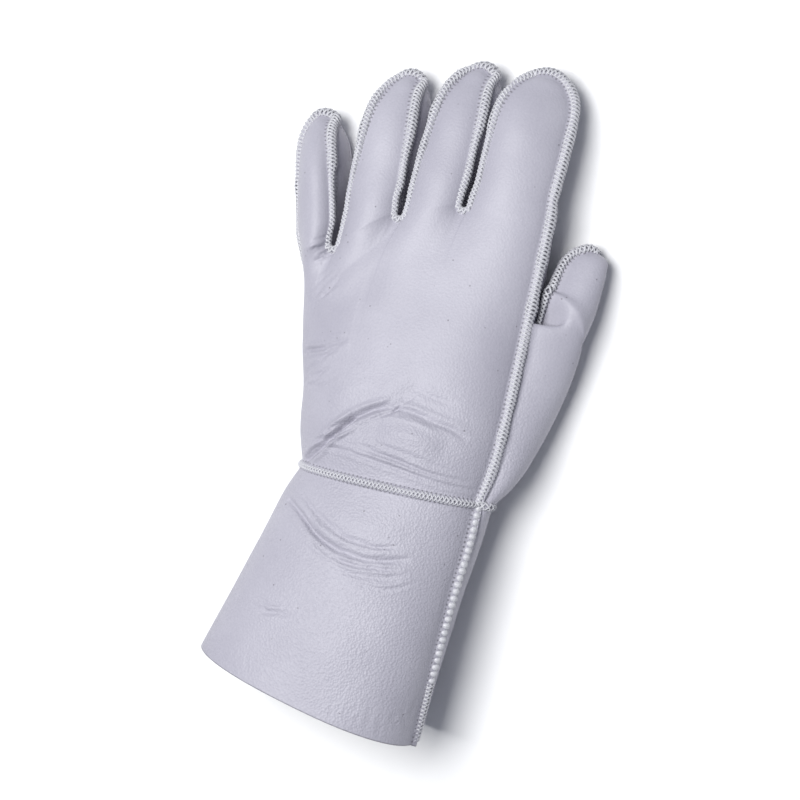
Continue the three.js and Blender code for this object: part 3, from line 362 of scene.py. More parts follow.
def weld(grids, turned=False):
    """Grids of points joined into one surface, where points within about a fiftieth of a millimetre
    become one: its points, its triangles, and each point's number in the grids."""
    points = np.concatenate([grid.reshape(-1, 3) for grid in grids])
    triangles, first = [], 0
    for grid in grids:
        rows, columns = grid.shape[:2]
        number = first + np.arange(rows * columns).reshape(rows, columns)
        first += rows * columns
        a, b, c, d = number[:-1, :-1], number[:-1, 1:], number[1:, 1:], number[1:, :-1]
        both = np.concatenate([np.stack([a, b, c], -1), np.stack([a, c, d], -1)]).reshape(-1, 3)
        triangles.append(both[:, ::-1] if turned else both)
    rounded = np.round(points * 50)
    _, index, back = np.unique(rounded, axis=0, return_index=True, return_inverse=True)
    triangles = back.reshape(-1)[np.concatenate(triangles)]
    a, b, c = triangles.T
    kept = triangles[(a != b) & (b != c) & (c != a)]
    return points[index], kept, index


def normals_of(points, triangles):
    """Each point's normal: the sum of its triangles' cross products."""
    a, b, c = (points[triangles[:, k]] for k in range(3))
    cross = np.cross(b - a, c - a)
    normals = np.zeros_like(points)
    for k in range(3):
        np.add.at(normals, triangles[:, k], cross)
    return unit(normals)


def nearest(points, target, together=4000):
    """Distance of each point to the nearest target point, and that one's number."""
    away, number = np.empty(len(points)), np.empty(len(points), int)
    for first in range(0, len(points), together):
        some = points[first : first + together]
        square = (some**2).sum(1)[:, None] + (target**2).sum(1)[None] - 2 * some @ target.T
        number[first : first + together] = square.argmin(1)
        away[first : first + together] = np.sqrt(np.maximum(square.min(1), 0))
    return away, number


def fold_relief(points, folds):
    """Height of the leather at each point: each fold is a valley, −depth · exp(−(d/width)^1.4),
    with a soft lip on either side, and fades at its ends."""
    relief = np.zeros(len(points))
    lip_height, lip_place, lip_width = LIP
    for line, depth, width in folds:
        line = np.array(line, float)
        start, step = line[:-1], np.diff(line, axis=0)
        offset = points[:, None, :2] - start[None]
        share = np.clip((offset * step).sum(-1) / (step**2).sum(-1), 0, 1)
        distance = np.linalg.norm(offset - share[..., None] * step, axis=-1)
        part = distance.argmin(1)
        d = distance.min(1)
        run = (part + share[np.arange(len(points)), part]) / len(step)
        fade = np.clip(4 * run * (1 - run), 0, 1) ** mix(0.4, 1.3, smooth(2, 5, width))
        lip = lip_height * np.exp(-(((d - lip_place * width) / (lip_width * width)) ** 2))
        relief += depth * fade * (lip - np.exp(-((d / width) ** 1.4)))
    return relief


def wrinkles(bundles, seed):
    """Each bundle as folds: lines beside the one that it follows, set off by a seeded share of the
    spread that drifts along them, each covering a seeded part of the whole length."""
    chance = np.random.default_rng(seed)
    folds = []
    for line, number, spread, depth, width in bundles:
        line = np.array(line, float)
        for k in range(number):
            first = chance.uniform(0, 0.45)
            last = chance.uniform(first + 0.4, 1)
            at = np.linspace(first, last, WRINKLE_POINTS) * (len(line) - 1)
            middle = laid(at, np.arange(len(line)), line)
            way = unit(np.gradient(middle, axis=0))
            aside = spread * ((k + 0.5) / number - 0.5 + chance.uniform(-0.06, 0.06))
            aside = aside + np.cumsum(chance.normal(size=WRINKLE_POINTS)) * 0.35
            path = middle + np.stack([-way[:, 1], way[:, 0]], -1) * aside[:, None]
            deep = depth * chance.uniform(0.8, 1.7)
            folds.append((path, deep, width * chance.uniform(1.0, 1.5)))
    return folds


def swell(points, length, seed):
    """The mean of eight sine waves in seeded directions, each about the given length long."""
    chance = np.random.default_rng(seed)
    ways = unit(chance.normal(size=(8, 3))) * (2 * math.pi / length)
    ways = ways * chance.uniform(0.7, 1.4, (8, 1))
    return np.sin(points @ ways.T + chance.uniform(0, 2 * math.pi, 8)).mean(1)


def make_piece(name, points, triangles, look, slot, stands_for=(), **marks):
    """A mesh from points in millimetres from the wrist, with a float attribute for each mark."""
    mesh = bpy.data.meshes.new(name)
    mesh.from_pydata(((points + WRIST_PLACE) * METRES).tolist(), [], triangles.tolist())
    mesh.shade_smooth()
    for mark, values in marks.items():
        attribute = mesh.attributes.new(mark, "FLOAT", "POINT")
        attribute.data.foreach_set("value", values.astype(np.float32))
    mesh.materials.append(look.material)
    piece = bpy.data.objects.new(name, mesh)
    bpy.context.scene.collection.objects.link(piece)
    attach(piece, "root")
    if stands_for:
        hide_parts(*stands_for)


def leather_wall(name, stands_for, grids, seams, turned=False, relief=None, cut=None):
    """A closed leather wall. The outer side rises in a ridge by height · (1 − smooth(d)) near each
    seam, a low ridge being narrower too, and takes the relief along its normal; the inner side
    lies a leather's thickness in, and a rim joins the two. cut gives the share of raw edge."""
    points, triangles, _ = weld(grids, turned)
    normals = normals_of(points, triangles)
    line = {key: np.concatenate([part[key] for part in seams]) for key in seams[0]}
    away, at = nearest(points, line["points"])
    away = away / mix(0.5, 1.0, line["height"][at] / RIDGE_HEIGHT)
    ridge = line["height"][at] * (1 - smooth(RIDGE_TOP, RIDGE_FOOT, away))
    outer = points + line["way"][at] * ridge[:, None]
    rise = HIDE_SWELL[0] * swell(points, HIDE_SWELL[1], 3) * smooth(1.0, 3.5, away)
    if relief is not None:
        rise = rise + relief(points, normals) * smooth(0.5, 3.0, away)
    outer = on_floor(outer + normals * rise[:, None])
    inner = points - normals * LEATHER
    inner = inner + normals * np.minimum(rise, 0)[:, None]
    inner[:, 2] = np.maximum(inner[:, 2], LEATHER * 0.6)
    count = len(points)
    edges = np.concatenate([triangles[:, [0, 1]], triangles[:, [1, 2]], triangles[:, [2, 0]]])
    forward, backward = edges[:, 0] * count + edges[:, 1], edges[:, 1] * count + edges[:, 0]
    a, b = edges[~np.isin(forward, backward)].T
    rim = [np.stack([b, a, a + count], -1), np.stack([b, a + count, b + count], -1)]
    whole = np.concatenate([triangles, triangles[:, ::-1] + count, *rim])
    marks = {
        "seam_run": np.tile(line["run"][at], 2),
        "seam_away": np.concatenate([away, away * 0 + 20]),
        "raw_edge": np.zeros(2 * count) if cut is None else np.tile(cut(points), 2),
        "pebbled": np.tile(1 - 0.75 * smooth(*PEBBLED, points[:, 1]), 2),
    }
    both = np.concatenate([outer, inner])
    make_piece(name, both, whole, leather, "leather", stands_for, **marks)


class Look:
    """A material with its node tree and Principled shader, and short ways to add nodes to it."""

    def __init__(self, name):
        self.material = bpy.data.materials.new(name)
        self.material.use_nodes = True
        self.tree = self.material.node_tree
        self.shader = self.tree.nodes["Principled BSDF"]

    def give(self, socket, value):
        """Sets a socket to a value, or joins another node's output to it."""
        if isinstance(value, bpy.types.NodeSocket):
            self.tree.links.new(value, socket)
        else:
            socket.default_value = value

    def add(self, kind, output, inputs=None, **settings):
        """The named output of a new node."""
        node = self.tree.nodes.new("ShaderNode" + kind)
        for key, value in settings.items():
            setattr(node, key, value)
        for key, value in (inputs or {}).items():
            self.give(node.inputs[key], value)
        return node.outputs[output]

    def textured(self, kind, output, **inputs):
        """A texture laid on the piece by its own coordinates."""
        place = self.add("TexCoord", "Object")
        return self.add("Tex" + kind, output, {"Vector": place, **inputs})

    def math(self, operation, *values):
        return self.add("Math", "Value", dict(enumerate(values)), operation=operation)

    def mark(self, name):
        return self.add("Attribute", "Fac", attribute_name=name)

    def remap(self, value, low, high, first=0.0, last=1.0):
        """The value carried from low and high to first and last, and held there beyond them."""
        ends = {"From Min": low, "From Max": high, "To Min": first, "To Max": last}
        return self.add("MapRange", "Result", {"Value": value, **ends})

    def laid_on(self, colour, share, over):
        """A colour with the colour over laid on it by the given share."""
        return self.add("MixRGB", "Color", {"Fac": share, "Color1": colour, "Color2": over})

    def ramp(self, share, low, dark, high, light):
        """A colour that runs from dark at the share low to light at the share high."""
        colour = self.add("ValToRGB", "Color", {"Fac": share})
        ends = zip(colour.node.color_ramp.elements, (low, high), (dark, light))
        for element, position, shade in ends:
            element.position = position
            element.color = (*shade, 1)
        return colour

    def finish(self, colour, height, distance, strength, **others):
        """Joins the colour and a bump of the height to the shader, with its other values."""
        bump = {"Height": height, "Distance": distance, "Strength": strength}
        self.give(self.shader.inputs["Base Color"], colour)
        self.give(self.shader.inputs["Normal"], self.add("Bump", "Normal", bump))
        for key, value in others.items():
            self.give(self.shader.inputs[key.replace("_", " ")], value)


leather = Look("lavender_leather")
cloud = leather.textured("Noise", "Fac", Scale=22.0, Detail=3.0)
grain = leather.textured("Noise", "Fac", Scale=950.0, Detail=2.0, Roughness=0.6)
pores = leather.textured("Voronoi", "Distance", Scale=880.0)
specks = leather.textured("Voronoi", "Distance", Scale=210.0)
rare = leather.textured("Noise", "Fac", Scale=130.0, Detail=0.0)
speck = leather.remap(specks, 0.05, 0.12, 1.0, 0.0)
speck = leather.math("MULTIPLY", speck, leather.remap(rare, 0.58, 0.64))
tone = leather.ramp(cloud, 0.3, (0.385, 0.375, 0.435), 0.72, (0.455, 0.445, 0.505))
mottle = leather.remap(grain, 0.35, 0.65, 0.12, 0.0)
mottled = leather.laid_on(tone, mottle, (0.2, 0.2, 0.25, 1))
spotted = leather.laid_on(mottled, speck, (0.2, 0.19, 0.22, 1))
# A stitch hole lies beside the ridge once every stitch, as a small pit painted dark with its shade.
turn = leather.math("FRACT", leather.math("MULTIPLY", leather.mark("seam_run"), 1 / HOLE_PITCH))
beside = leather.math("MULTIPLY", leather.math("SUBTRACT", turn, 0.5), HOLE_PITCH)
off = leather.math("SUBTRACT", leather.mark("seam_away"), HOLE_PLACE)
both = leather.add("CombineXYZ", "Vector", {"X": beside, "Y": off})
reach = leather.add("VectorMath", "Value", {0: both}, operation="LENGTH")
hole = leather.remap(reach, 0.28, 0.55, 1.0, 0.0)
# Painted shade in the stitch holes, together with the raw cut edge of the hem in its own dark
# colour.
dark = leather.math("MULTIPLY", leather.math("MAXIMUM", hole, leather.mark("raw_edge")), 0.6)
# The grain is pebbled on the cuff and the lower hand, and finer towards the fingers.
height = leather.math("MULTIPLY_ADD", hole, -2.5, leather.math("ADD", grain, pores))
height = leather.math("MULTIPLY", height, leather.mark("pebbled"))
hide = leather.laid_on(spotted, dark, (0.09, 0.085, 0.1, 1))
sheen = {"Sheen_Weight": 0.12, "Sheen_Roughness": 0.4}
leather.finish(hide, height, 0.0008, 0.33, Roughness=0.5, **sheen)

ACROSS_FINGER = 43
FINGER_ROWS = 62
HAND_ROWS = 188
SEAM_POINTS = 80
GAP_POINTS = 76
CROTCH_POINTS = 9
even = np.linspace(0, 1, ACROSS_FINGER)
finger_shares = mix(even, 0.5 + np.arcsin(2 * even - 1) / math.pi, 0.6)
finger_rows = gather(FINGER_ROWS, 0.35)
hand_shares = gather(HAND_ROWS, 0.2)
back_base = base_line("back", [finger_shares] * 4)[0]
# The angles on the section are stretched to run from seam to seam.
back_angles = angle_at(back_base, False)
back_share = (back_angles - back_angles[0]) / (back_angles[-1] - back_angles[0])
back_angles = mix(ULNAR_ANGLE, RADIAL_ANGLE, back_share)
back_hand = hand_sheet(back_base, back_angles, hand_shares)
back_fingers = [finger_sheet(number, "back", finger_rows, finger_shares) for number in range(4)]


def finger_lean(name, along):
    """The lean of a finger's seam at shares of its length."""
    root, tip = LEANS[name]
    low, high = (0.2, 0.75) if name == "ulnar" else (0.4, 0.9)
    return mix(root, tip, smooth(low, high, along))


def round_finger(number):
    """The parts of the back's edge up a finger's thumb side, over its tip and down again."""
    along = np.linspace(0, 1, SEAM_POINTS)
    names = ["radial" if number == INDEX else "back", "ulnar" if number == LITTLE else "back"]
    rising = mix(CROTCH_RIDGE, RIDGE_HEIGHT, smooth(0.05, 0.5, along))
    sides = []
    for name, side in zip(names, (1, -1)):
        edge = finger_edge(number, side, along, "back")
        height = rising if name == "back" else np.full(SEAM_POINTS, RIDGE_HEIGHT)
        sides.append((edge[::side], finger_lean(name, along)[::side], height[::side]))
    tip = finger_sheet(number, "back", np.ones(1), np.linspace(0, 1, 24)[1:-1])[0][::-1]
    return [sides[0], (tip, np.full(len(tip), LEANS["back"][1]), RIDGE_HEIGHT), sides[1]]


def back_edge():
    """The whole seam of the back: up the thumb's side, round the fingers, and down the other."""
    parts = [(back_hand[:-1, -1], LEANS["radial"][0], RIDGE_HEIGHT)]
    for number in range(INDEX, LITTLE - 1, -1):
        parts += round_finger(number)
        if number > LITTLE:
            crotch = notch(number - 1, "back", CROTCH_POINTS)[::-1]
            parts.append((crotch, LEANS["back"][0], CROTCH_RIDGE))
    parts.append((back_hand[-2::-1, 0], LEANS["ulnar"][0], RIDGE_HEIGHT))
    return parts


back_seam = seam(back_edge())


def back_relief(points, normals):
    """The folds and wrinkles of the back, which fade where it turns down to its sides."""
    folds = HAND_FOLDS + wrinkles(HAND_WRINKLES, 5)
    return fold_relief(points, folds) * smooth(0.15, 0.5, normals[:, 2])


# Palm panel: the palm with the four finger fronts, of the same leather, pressed flat by its own
# weight where it lies on the floor. Beyond the thumb's root it also covers the index finger's side.
PALM_COLUMN = 22
COLUMN_POINTS = 6
THUMB_SHARE = 0.65
ROOT_DIP = 0.2
PRESSED_SEAM_RISE = 2.6
LOWER_ROWS = 70
UPPER_ROWS = 40

palm_shares = [
    np.linspace(0, 1, columns * COLUMN_POINTS + 1)
    for columns in [FINGER_COLUMNS] * 3 + [INDEX_COLUMNS]
]
palm_base, palm_columns = base_line("palm", palm_shares)
root_share = (palm_columns - PALM_COLUMN) / FINGER_COLUMNS
palm_angles = angle_at(palm_base, True)
root_at = int(np.argmin(np.abs(root_share)))
thumb_angle = palm_angles[root_at]
palm_share = (palm_angles - palm_angles[0]) / (thumb_angle - palm_angles[0])
palm_angles = mix(ULNAR_ANGLE, thumb_angle, palm_share)
to_radial = mix(thumb_angle, RADIAL_ANGLE + 2 * math.pi, root_share)
palm_angles = np.where(root_share > 0, to_radial, palm_angles)


def palm_sheet(shares):
    """The palm, drawn back to the wrist under the thumb's root, with the thumb's seam held up."""
    before = smooth(PALM_COLUMN - 8, PALM_COLUMN, palm_columns)
    near = np.where(root_share > 0, 1 - root_share, before)
    up, down = smooth(0, THUMB_SHARE, shares), 1 - smooth(THUMB_SHARE, 1, shares)
    row = np.where(shares < THUMB_SHARE, up, down)
    sheet = hand_sheet(palm_base, palm_angles, shares, 1 - ROOT_DIP * near[None] * row[:, None])
    held = PRESSED_SEAM_RISE * np.exp(-(((palm_columns - PALM_COLUMN) / 0.5) ** 2))
    held = held * (shares <= THUMB_SHARE + 1e-6)[:, None]
    sheet[..., 2] = np.maximum(sheet[..., 2], held)
    return sheet


lower_shares = np.linspace(0, THUMB_SHARE, LOWER_ROWS)
upper_shares = np.linspace(THUMB_SHARE, 1, UPPER_ROWS)
palm_lower = palm_sheet(lower_shares)[:, : root_at + 1]
palm_upper = palm_sheet(upper_shares)
palm_upper[0, : root_at + 1] = palm_lower[-1]
palm_fingers = [
    finger_sheet(number, "palm", finger_rows, share) for number, share in enumerate(palm_shares)
]


def gap_seam(number):
    """The palm's seam round a gap, from the tip of the finger beyond it to the tip of the nearer
    one, so that the ridge's way points to the palm."""
    along = np.linspace(0, 1, GAP_POINTS)
    lean = finger_lean("palm", along)
    far = finger_edge(number + 1, -1, along, "palm")[::-1]
    crotch = notch(number, "palm", CROTCH_POINTS)[::-1]
    near = finger_edge(number, 1, along, "palm")
    return seam([
        (far, lean[::-1], PRESSED_RIDGE),
        (crotch, LEANS["palm"][0], PRESSED_RIDGE),
        (near, lean, PRESSED_RIDGE),
    ])


palm_gap_seams = [gap_seam(number) for number in range(3)]

# Thumb: an outer piece that runs down to the wrist as a gusset, and an inner piece that faces the
# index finger. Both are sewn from the tip to the root, and the gusset along the palm.
THUMB_WIDTH = 22.5
ACROSS_THUMB = 36
OUTER_ROWS = 70
INNER_ROWS = 60
TIP_POINTS = 20
ROOT = {
    "along": [0.0, 0.07, 0.2, 0.35, 0.52, 0.66],
    "reach": [0.035, 0.07, 0.105, 0.14, 0.175, 0.19],
    "rise": [0.06, 0.02, -0.06, -0.1, -0.07, -0.02],
    "fullness": [0.9, 0.85, 0.8, 0.78, 0.76, 0.75],
}
# Sections of the free thumb: its middle, half width and top, how far its lower seam lies across,
# how far its inner and lower seams lie apart along it, and the inner seam's rise
THUMB = {
    "x": [0.516, 0.525, 0.53, 0.534, 0.538],
    "y": [0.655, 0.735, 0.81, 0.87, 0.915],
    "half": [0.5, 0.5, 0.49, 0.45, 0.34],
    "top": [0.5, 0.47, 0.44, 0.4, 0.34],
    "lower": [-0.8, -0.2, -0.05, 0.1, 0.35],
    "slant": [0.2, 0.09, 0.04, 0.015, 0.0],
    "inner": [0.65, 0.53, 0.43, 0.35, 0.3],
}
THUMB = {name: np.array(values) for name, values in THUMB.items()}
THUMB_SEAM_REACH = 0.93
# How the thumb's outer and inner sides stand off: reach sideways, rise, and fullness
OUTER_ARCH = (0.93, 0.62, 0.75)
INNER_ARCH = (-0.97, -0.25, 0.9)
THUMB_TIP = np.array([(0.511, 0.932, 0.2), (0.561, 0.932, 0.13)])
THUMB_TIP_BULGE = 0.012
ROOT_SWELL = (9, 6)
WRIST_RIDGE = 1.7
THUMB_RIDGE = RIDGE_HEIGHT * 0.85
TIP_RIDGE = 1.0
INNER_WAY, TIP_WAY = np.array([-0.8, 0, 0.6]), np.array([0.1, 1, 0.25])
HAND_SIZE = np.array([PALM_WIDTH, PALM_LENGTH, PALM_HEIGHT])
root_shares = np.array([0, 0.06, 0.13, 0.2, 0.28, 0.4, 0.52, 0.65])


def arch(start, end, crown, fullness, share):
    """Points from start to end that stand off the straight line by crown in the middle."""
    angle = (np.asarray(share) - 0.5) * math.pi
    middle = (start + end) / 2 + (end - start) / 2 * np.sin(angle)[:, None]
    return on_floor(middle + crown * np.maximum(np.cos(angle), 0)[:, None] ** fullness)


def through(grid, at):
    """Points at fractional row numbers of a grid, on a cubic through its rows."""
    slope = np.gradient(grid, axis=0)
    i = np.clip(np.floor(at).astype(int), 0, len(grid) - 2)
    t = (at - i).reshape(-1, *[1] * (grid.ndim - 1))
    return cubic(t, grid[i], grid[i + 1], slope[i], slope[i + 1])


radial_side = hand_sheet(back_base, back_angles, root_shares)[:, -1]
palm_side = palm_sheet(root_shares)[:, root_at]
root_row = palm_sheet(np.array([THUMB_SHARE]))[0]
root_line = root_row[root_at : root_at + 4 * COLUMN_POINTS + 1 : COLUMN_POINTS]
root_line[4] = radial_side[-1]
half = THUMB["half"] * THUMB_WIDTH
centre = np.stack([THUMB["x"], THUMB["y"], THUMB["top"] / 2], -1) * HAND_SIZE
slant = THUMB["slant"] * PALM_LENGTH / 2
to_inner = [-THUMB_SEAM_REACH * half, slant, centre[:, 2] * THUMB["inner"]]
inner_seam = centre + np.stack(to_inner, -1)
lower_across, lower_along = centre[:, 0] + THUMB["lower"] * half, centre[:, 1] - slant
lower_seam = np.stack([lower_across, lower_along, np.full(5, PRESSED_SEAM_RISE)], -1)


def thumb_tip(share):
    """The rounded end of the thumb from its inner to its lower seam."""
    points = mix(THUMB_TIP[0], THUMB_TIP[1], share[:, None])
    points[:, 1] += THUMB_TIP_BULGE * 4 * share * (1 - share)
    return points * HAND_SIZE


def thumb_arches(reach, rise, fullness, share):
    """The free thumb's sections on one side, and its tip."""
    rows = []
    for k in range(5):
        out = centre[k, 0] + reach * half[k] - (inner_seam[k, 0] + lower_seam[k, 0]) / 2
        crown = np.array([out, 0, rise * centre[k, 2]])
        rows.append(arch(inner_seam[k], lower_seam[k], crown, fullness, share))
    return [*rows, thumb_tip(share)]


def thumb_outer_sheet(share):
    """Rows of the outer piece over the given shares of the way from its inner to its lower seam:
    those of the gusset and of the thumb's root, and then those of the free thumb."""
    rows = []
    ends = list(zip(radial_side[:-1], palm_side[:-1]))
    ends.append((radial_side[-1], (palm_side[-2] + palm_side[-1]) / 2))
    ends.append((root_line[3], palm_side[-1]))
    for start, end in ends:
        along = start[1] / PALM_LENGTH
        reach, rise, full = (read(ROOT, name, along) for name in ("reach", "rise", "fullness"))
        out = start[0] + reach * PALM_WIDTH - (start[0] + end[0]) / 2
        rows.append(arch(start, end, np.array([out, 0, rise * PALM_HEIGHT]), full, share))
    near_root = (np.sin(share * math.pi) * (1 - share))[:, None]
    rows[-1] = rows[-1] + near_root * np.array([0, *ROOT_SWELL])
    first_free = len(rows)
    rows = np.array(rows + thumb_arches(*OUTER_ARCH, share))
    beside = (rows[first_free - 2] + rows[first_free]) / 2
    rows[first_free - 1] = mix(rows[first_free - 1], beside, smooth(0, 0.2, share)[:, None])
    return rows


def thumb_inner_sheet(share):
    """Rows of the inner piece, from its root line to the tip, from its inner to its lower seam."""
    return np.array([through(root_line[3::-1], share * 3), *thumb_arches(*INNER_ARCH, share)])


thumb_shares = gather(ACROSS_THUMB, 0.3)
outer_rows = thumb_outer_sheet(thumb_shares)
gusset_rows = np.interp(lower_shares, root_shares, np.arange(8))
free_rows = np.linspace(7, len(outer_rows) - 1, OUTER_ROWS)
thumb_outer = through(outer_rows, np.concatenate([gusset_rows, free_rows[1:]]))
inner_rows = thumb_inner_sheet(thumb_shares)
thumb_inner = through(inner_rows, np.linspace(0, len(inner_rows) - 1, INNER_ROWS))
lower_line = thumb_outer[:, -1]
thumb_lower_seam = seam([(lower_line, np.tile(-UP, (len(lower_line), 1)), PRESSED_RIDGE)])
inner_line = thumb_inner[:, 0]
place = np.arange(len(inner_line))
inner_height = mix(PRESSED_RIDGE, THUMB_RIDGE, smooth(0, 14, place))
inner_way = mix(INNER_WAY, TIP_WAY, smooth(48, 60, place)[:, None])
tip_line = thumb_tip(np.linspace(0, 1, TIP_POINTS))
tip_height = np.linspace(THUMB_RIDGE, TIP_RIDGE, TIP_POINTS)
thumb_inner_seam = seam([
    (inner_line[:-1], inner_way[:-1], inner_height[:-1]),
    (tip_line, np.tile(TIP_WAY, (TIP_POINTS, 1)), tip_height),
])
radial_seam = seam([(back_hand[:, -1], LEANS["radial"][0], RIDGE_HEIGHT)])


def ring_around(shares):
    """The hand's whole girth at shares of the way from the wrist: back, thumb gusset, palm."""
    back = hand_sheet(back_base, back_angles, shares)
    gusset = through(outer_rows, np.interp(shares, root_shares, np.arange(8)))
    palm = palm_sheet(shares)[:, 1 : root_at + 1][:, ::-1]
    return np.concatenate([back[:, :-1], gusset[:, :-1], palm], axis=1)


wrist_ring = ring_around(np.zeros(1))[0]
wrist_out = wrist_ring - wrist_ring.mean(0)
wrist_out[:, 1] = 0
wrist_height = mix(0.2, WRIST_RIDGE, smooth(0.2, 0.8, wrist_ring[:, 2] / PALM_HEIGHT))
wrist_seam = seam([(wrist_ring, unit(wrist_out), wrist_height)], closed=True)

# The wrist seam belongs to back, palm and thumb, so their walls are all made here.
leather_wall("back_of_hand", ["back_panel"], [back_hand, *back_fingers], [back_seam, wrist_seam],
             relief=back_relief)
leather_wall("palm", ["palm_panel"], [palm_lower, palm_upper, *palm_fingers],
             [back_seam, wrist_seam, thumb_lower_seam, *palm_gap_seams], turned=True)
leather_wall("thumb_and_gusset", ["thumb_outer"], [thumb_outer],
             [radial_seam, wrist_seam, thumb_lower_seam, thumb_inner_seam])
leather_wall("thumb_inside", ["thumb_inner"], [thumb_inner],
             [thumb_lower_seam, thumb_inner_seam], turned=True)

# Fourchettes: folded leather strips between the fingers, one for each gap, sewn to the backs and to
# the palm. Each runs down one finger, round the crotch and up the next, and ends in a point.
STRIPS = ["little_ring", "ring_middle", "middle_index"]
STRIP_BULGE = 2.6


def fourchette(number):
    """Lines from the back's seam to the palm's seam along the whole gap."""
    along = np.linspace(1, 0, GAP_POINTS)
    share = np.linspace(0, 1, 13)[None, :, None]
    lines = []
    for finger, side, places in ((number, 1, along), (number + 1, -1, along[::-1])):
        edges = (finger_edge(finger, side, places, panel)[:, None] for panel in ("back", "palm"))
        bulge = STRIP_BULGE * smooth(0.2, 0.6, places) * (1 - smooth(0.88, 1, places))
        out = unit(np.array([side, 0.0, 0.5])) * bulge[:, None, None] * np.sin(share * math.pi)
        lines.append(mix(*edges, share) + out)
    crotch = (notch(number, panel, CROTCH_POINTS)[:, None] for panel in ("back", "palm"))
    return np.concatenate([lines[0], mix(*crotch, share), lines[1]])


for number, name in enumerate(STRIPS):
    seams = [back_seam, palm_gap_seams[number]]
    leather_wall("strip_" + name, ["fourchette_" + name], [fourchette(number)], seams, turned=True)

# Cuff: one wrapped piece of the same leather, flared to the hem and closed by a side seam under the
# thumb. Its hem is cut raw, so a thin dark line of hide shows along it.
CUFF_ROWS = 136
CUFF_LENGTH = 108
HEM_WIDTH = 118
HEM_HEIGHT = 71
HEM_SLANT = math.radians(11)
SIDE_RIDGE = 2.2
SEAM_TURN = math.radians(17)
FULL_TURN = RADIAL_ANGLE + 2 * math.pi
CUFF = {
    "along": [0.0, 0.15, 0.4, 0.7, 1.0],
    "x": [0.014, -0.016, -0.058, -0.105, -0.155],
    "half": [0.408, 0.43, 0.446, 0.47, 0.5],
    "top": [0.732, 0.78, 0.86, 0.94, 1.0],
    "side": [0.33, 0.35, 0.4, 0.45, 0.48],
    "low": [0.063, -0.01, -0.04, -0.045, -0.045],
}
CUFF_FOLDS = [
    ([(-44, -17), (-39, -19), (-30, -24), (-19, -31), (-7, -35)], 1.7, 1.6),
    ([(-26, -28), (-10, -33), (9, -35), (26, -31)], 1.2, 1.6),
    ([(-24, -14), (0, -20), (22, -18)], -1.2, 9.0),
    ([(-43, -68), (-36, -70), (-23, -68)], 0.5, 1.2),
    ([(-50, -40), (-40, -47), (-28, -50)], 0.3, 2.5),
]
CUFF_WRINKLES = [
    ([(-44, -14), (-34, -19), (-22, -27), (-8, -33), (8, -34), (26, -30)], 14, 15, 0.5, 0.6),
    ([(-14, -36), (0, -41), (16, -42), (30, -38)], 7, 10, 0.4, 0.7),
    ([(-48, -66), (-38, -69), (-24, -67)], 5, 7, 0.35, 0.7),
    ([(12, -96), (13, -104), (15, -112)], 5, 14, 0.3, 0.5),
    ([(28, -98), (29, -107), (31, -115)], 6, 16, 0.35, 0.5),
    ([(42, -84), (43, -96), (44, -108)], 4, 9, 0.3, 0.5),
]


def cuff_point(angle, along):
    """The cuff's section: an oval turned about the upright by the hem's slant as it runs down."""
    x, half_width = (read(CUFF, name, along) * HEM_WIDTH for name in ("x", "half"))
    side, top, low = (read(CUFF, name, along) * HEM_HEIGHT for name in ("side", "top", "low"))
    lift = power(np.sin(angle), SQUARENESS)
    across = half_width * power(np.cos(angle), SQUARENESS)
    z = side + lift * np.where(lift > 0, top - side, side - low)
    turn = -HEM_SLANT * along
    place = [x + across * np.cos(turn), -CUFF_LENGTH * along + across * np.sin(turn), z]
    return on_floor(np.stack(np.broadcast_arrays(*place), -1))


below_back = slice(1, root_at + 1)
gusset_share = np.arange(1, len(thumb_shares)) / (len(thumb_shares) - 1)
cuff_wrist = np.concatenate([
    back_hand[0][::-1],
    palm_lower[0, below_back],
    thumb_outer[0][::-1][1:],
])
cuff_angles = np.concatenate([
    back_angles[::-1],
    palm_angles[below_back],
    mix(thumb_angle, FULL_TURN, gusset_share),
])


def cuff_sheet(shares):
    """The cuff from the wrist seam to the hem: its oval, drawn to the wrist's ring at the top."""
    from_seam = np.minimum(cuff_angles - RADIAL_ANGLE, FULL_TURN - cuff_angles)
    turned = SEAM_TURN * np.exp(-((from_seam / 0.9) ** 2))
    points = cuff_point(cuff_angles[None] - turned * shares[:, None], shares[:, None])
    drawn = cuff_wrist - cuff_point(cuff_angles, 0.0)
    return on_floor(points + drawn * (1 - shares)[:, None, None] ** 3)


def cuff_relief(points, normals):
    """The folds and wrinkles on the cuff's top, and its soft swelling all round."""
    top = smooth(0.15, 0.5, normals[:, 2])
    folds = CUFF_FOLDS + wrinkles(CUFF_WRINKLES, 6)
    return fold_relief(points, folds) * top + 0.35 * swell(points, 45, 8)


cuff_grid = cuff_sheet(gather(CUFF_ROWS, 0.2))
side_way = np.array([math.cos(RADIAL_ANGLE), 0, math.sin(RADIAL_ANGLE)])
side_line = cuff_grid[:, 0]
side_seam = seam([(side_line, np.tile(side_way, (len(side_line), 1)), SIDE_RIDGE)])
hem_line = cuff_grid[-1]


def hem_cut(points):
    """1 on the raw edge of the hem, and 0 everywhere else."""
    return (nearest(points, hem_line)[0] < 0.05) * 1.0


leather_wall("gauntlet_cuff", ["cuff"], [cuff_grid], [side_seam, wrist_seam], relief=cuff_relief,
             cut=hem_cut)

# Wool lining: the sheep's own wool, left on the inner side of the leather. It stands 5 to 8 mm
# deep in soft wavy locks, and shows in the cuff's mouth and on into the hand.
WOOL_DEPTH = 5.6
WOOL_CLEARANCE = 0.4
FOLD_CLEARANCE = 2.2
HAND_CLEARANCE = 1.6
LOCK_HEIGHT = 2.6
HEM_GAP = 1.5
WOOL_ROWS = 90
HAND_WOOL_ROWS = 36
TUFTED_ROWS = 26
TUFTS = 2600
TUFT_LENGTH = 4.5
TUFT_RADIUS = 0.75
TUFT_RINGS, TUFT_SIDES = 6, 4

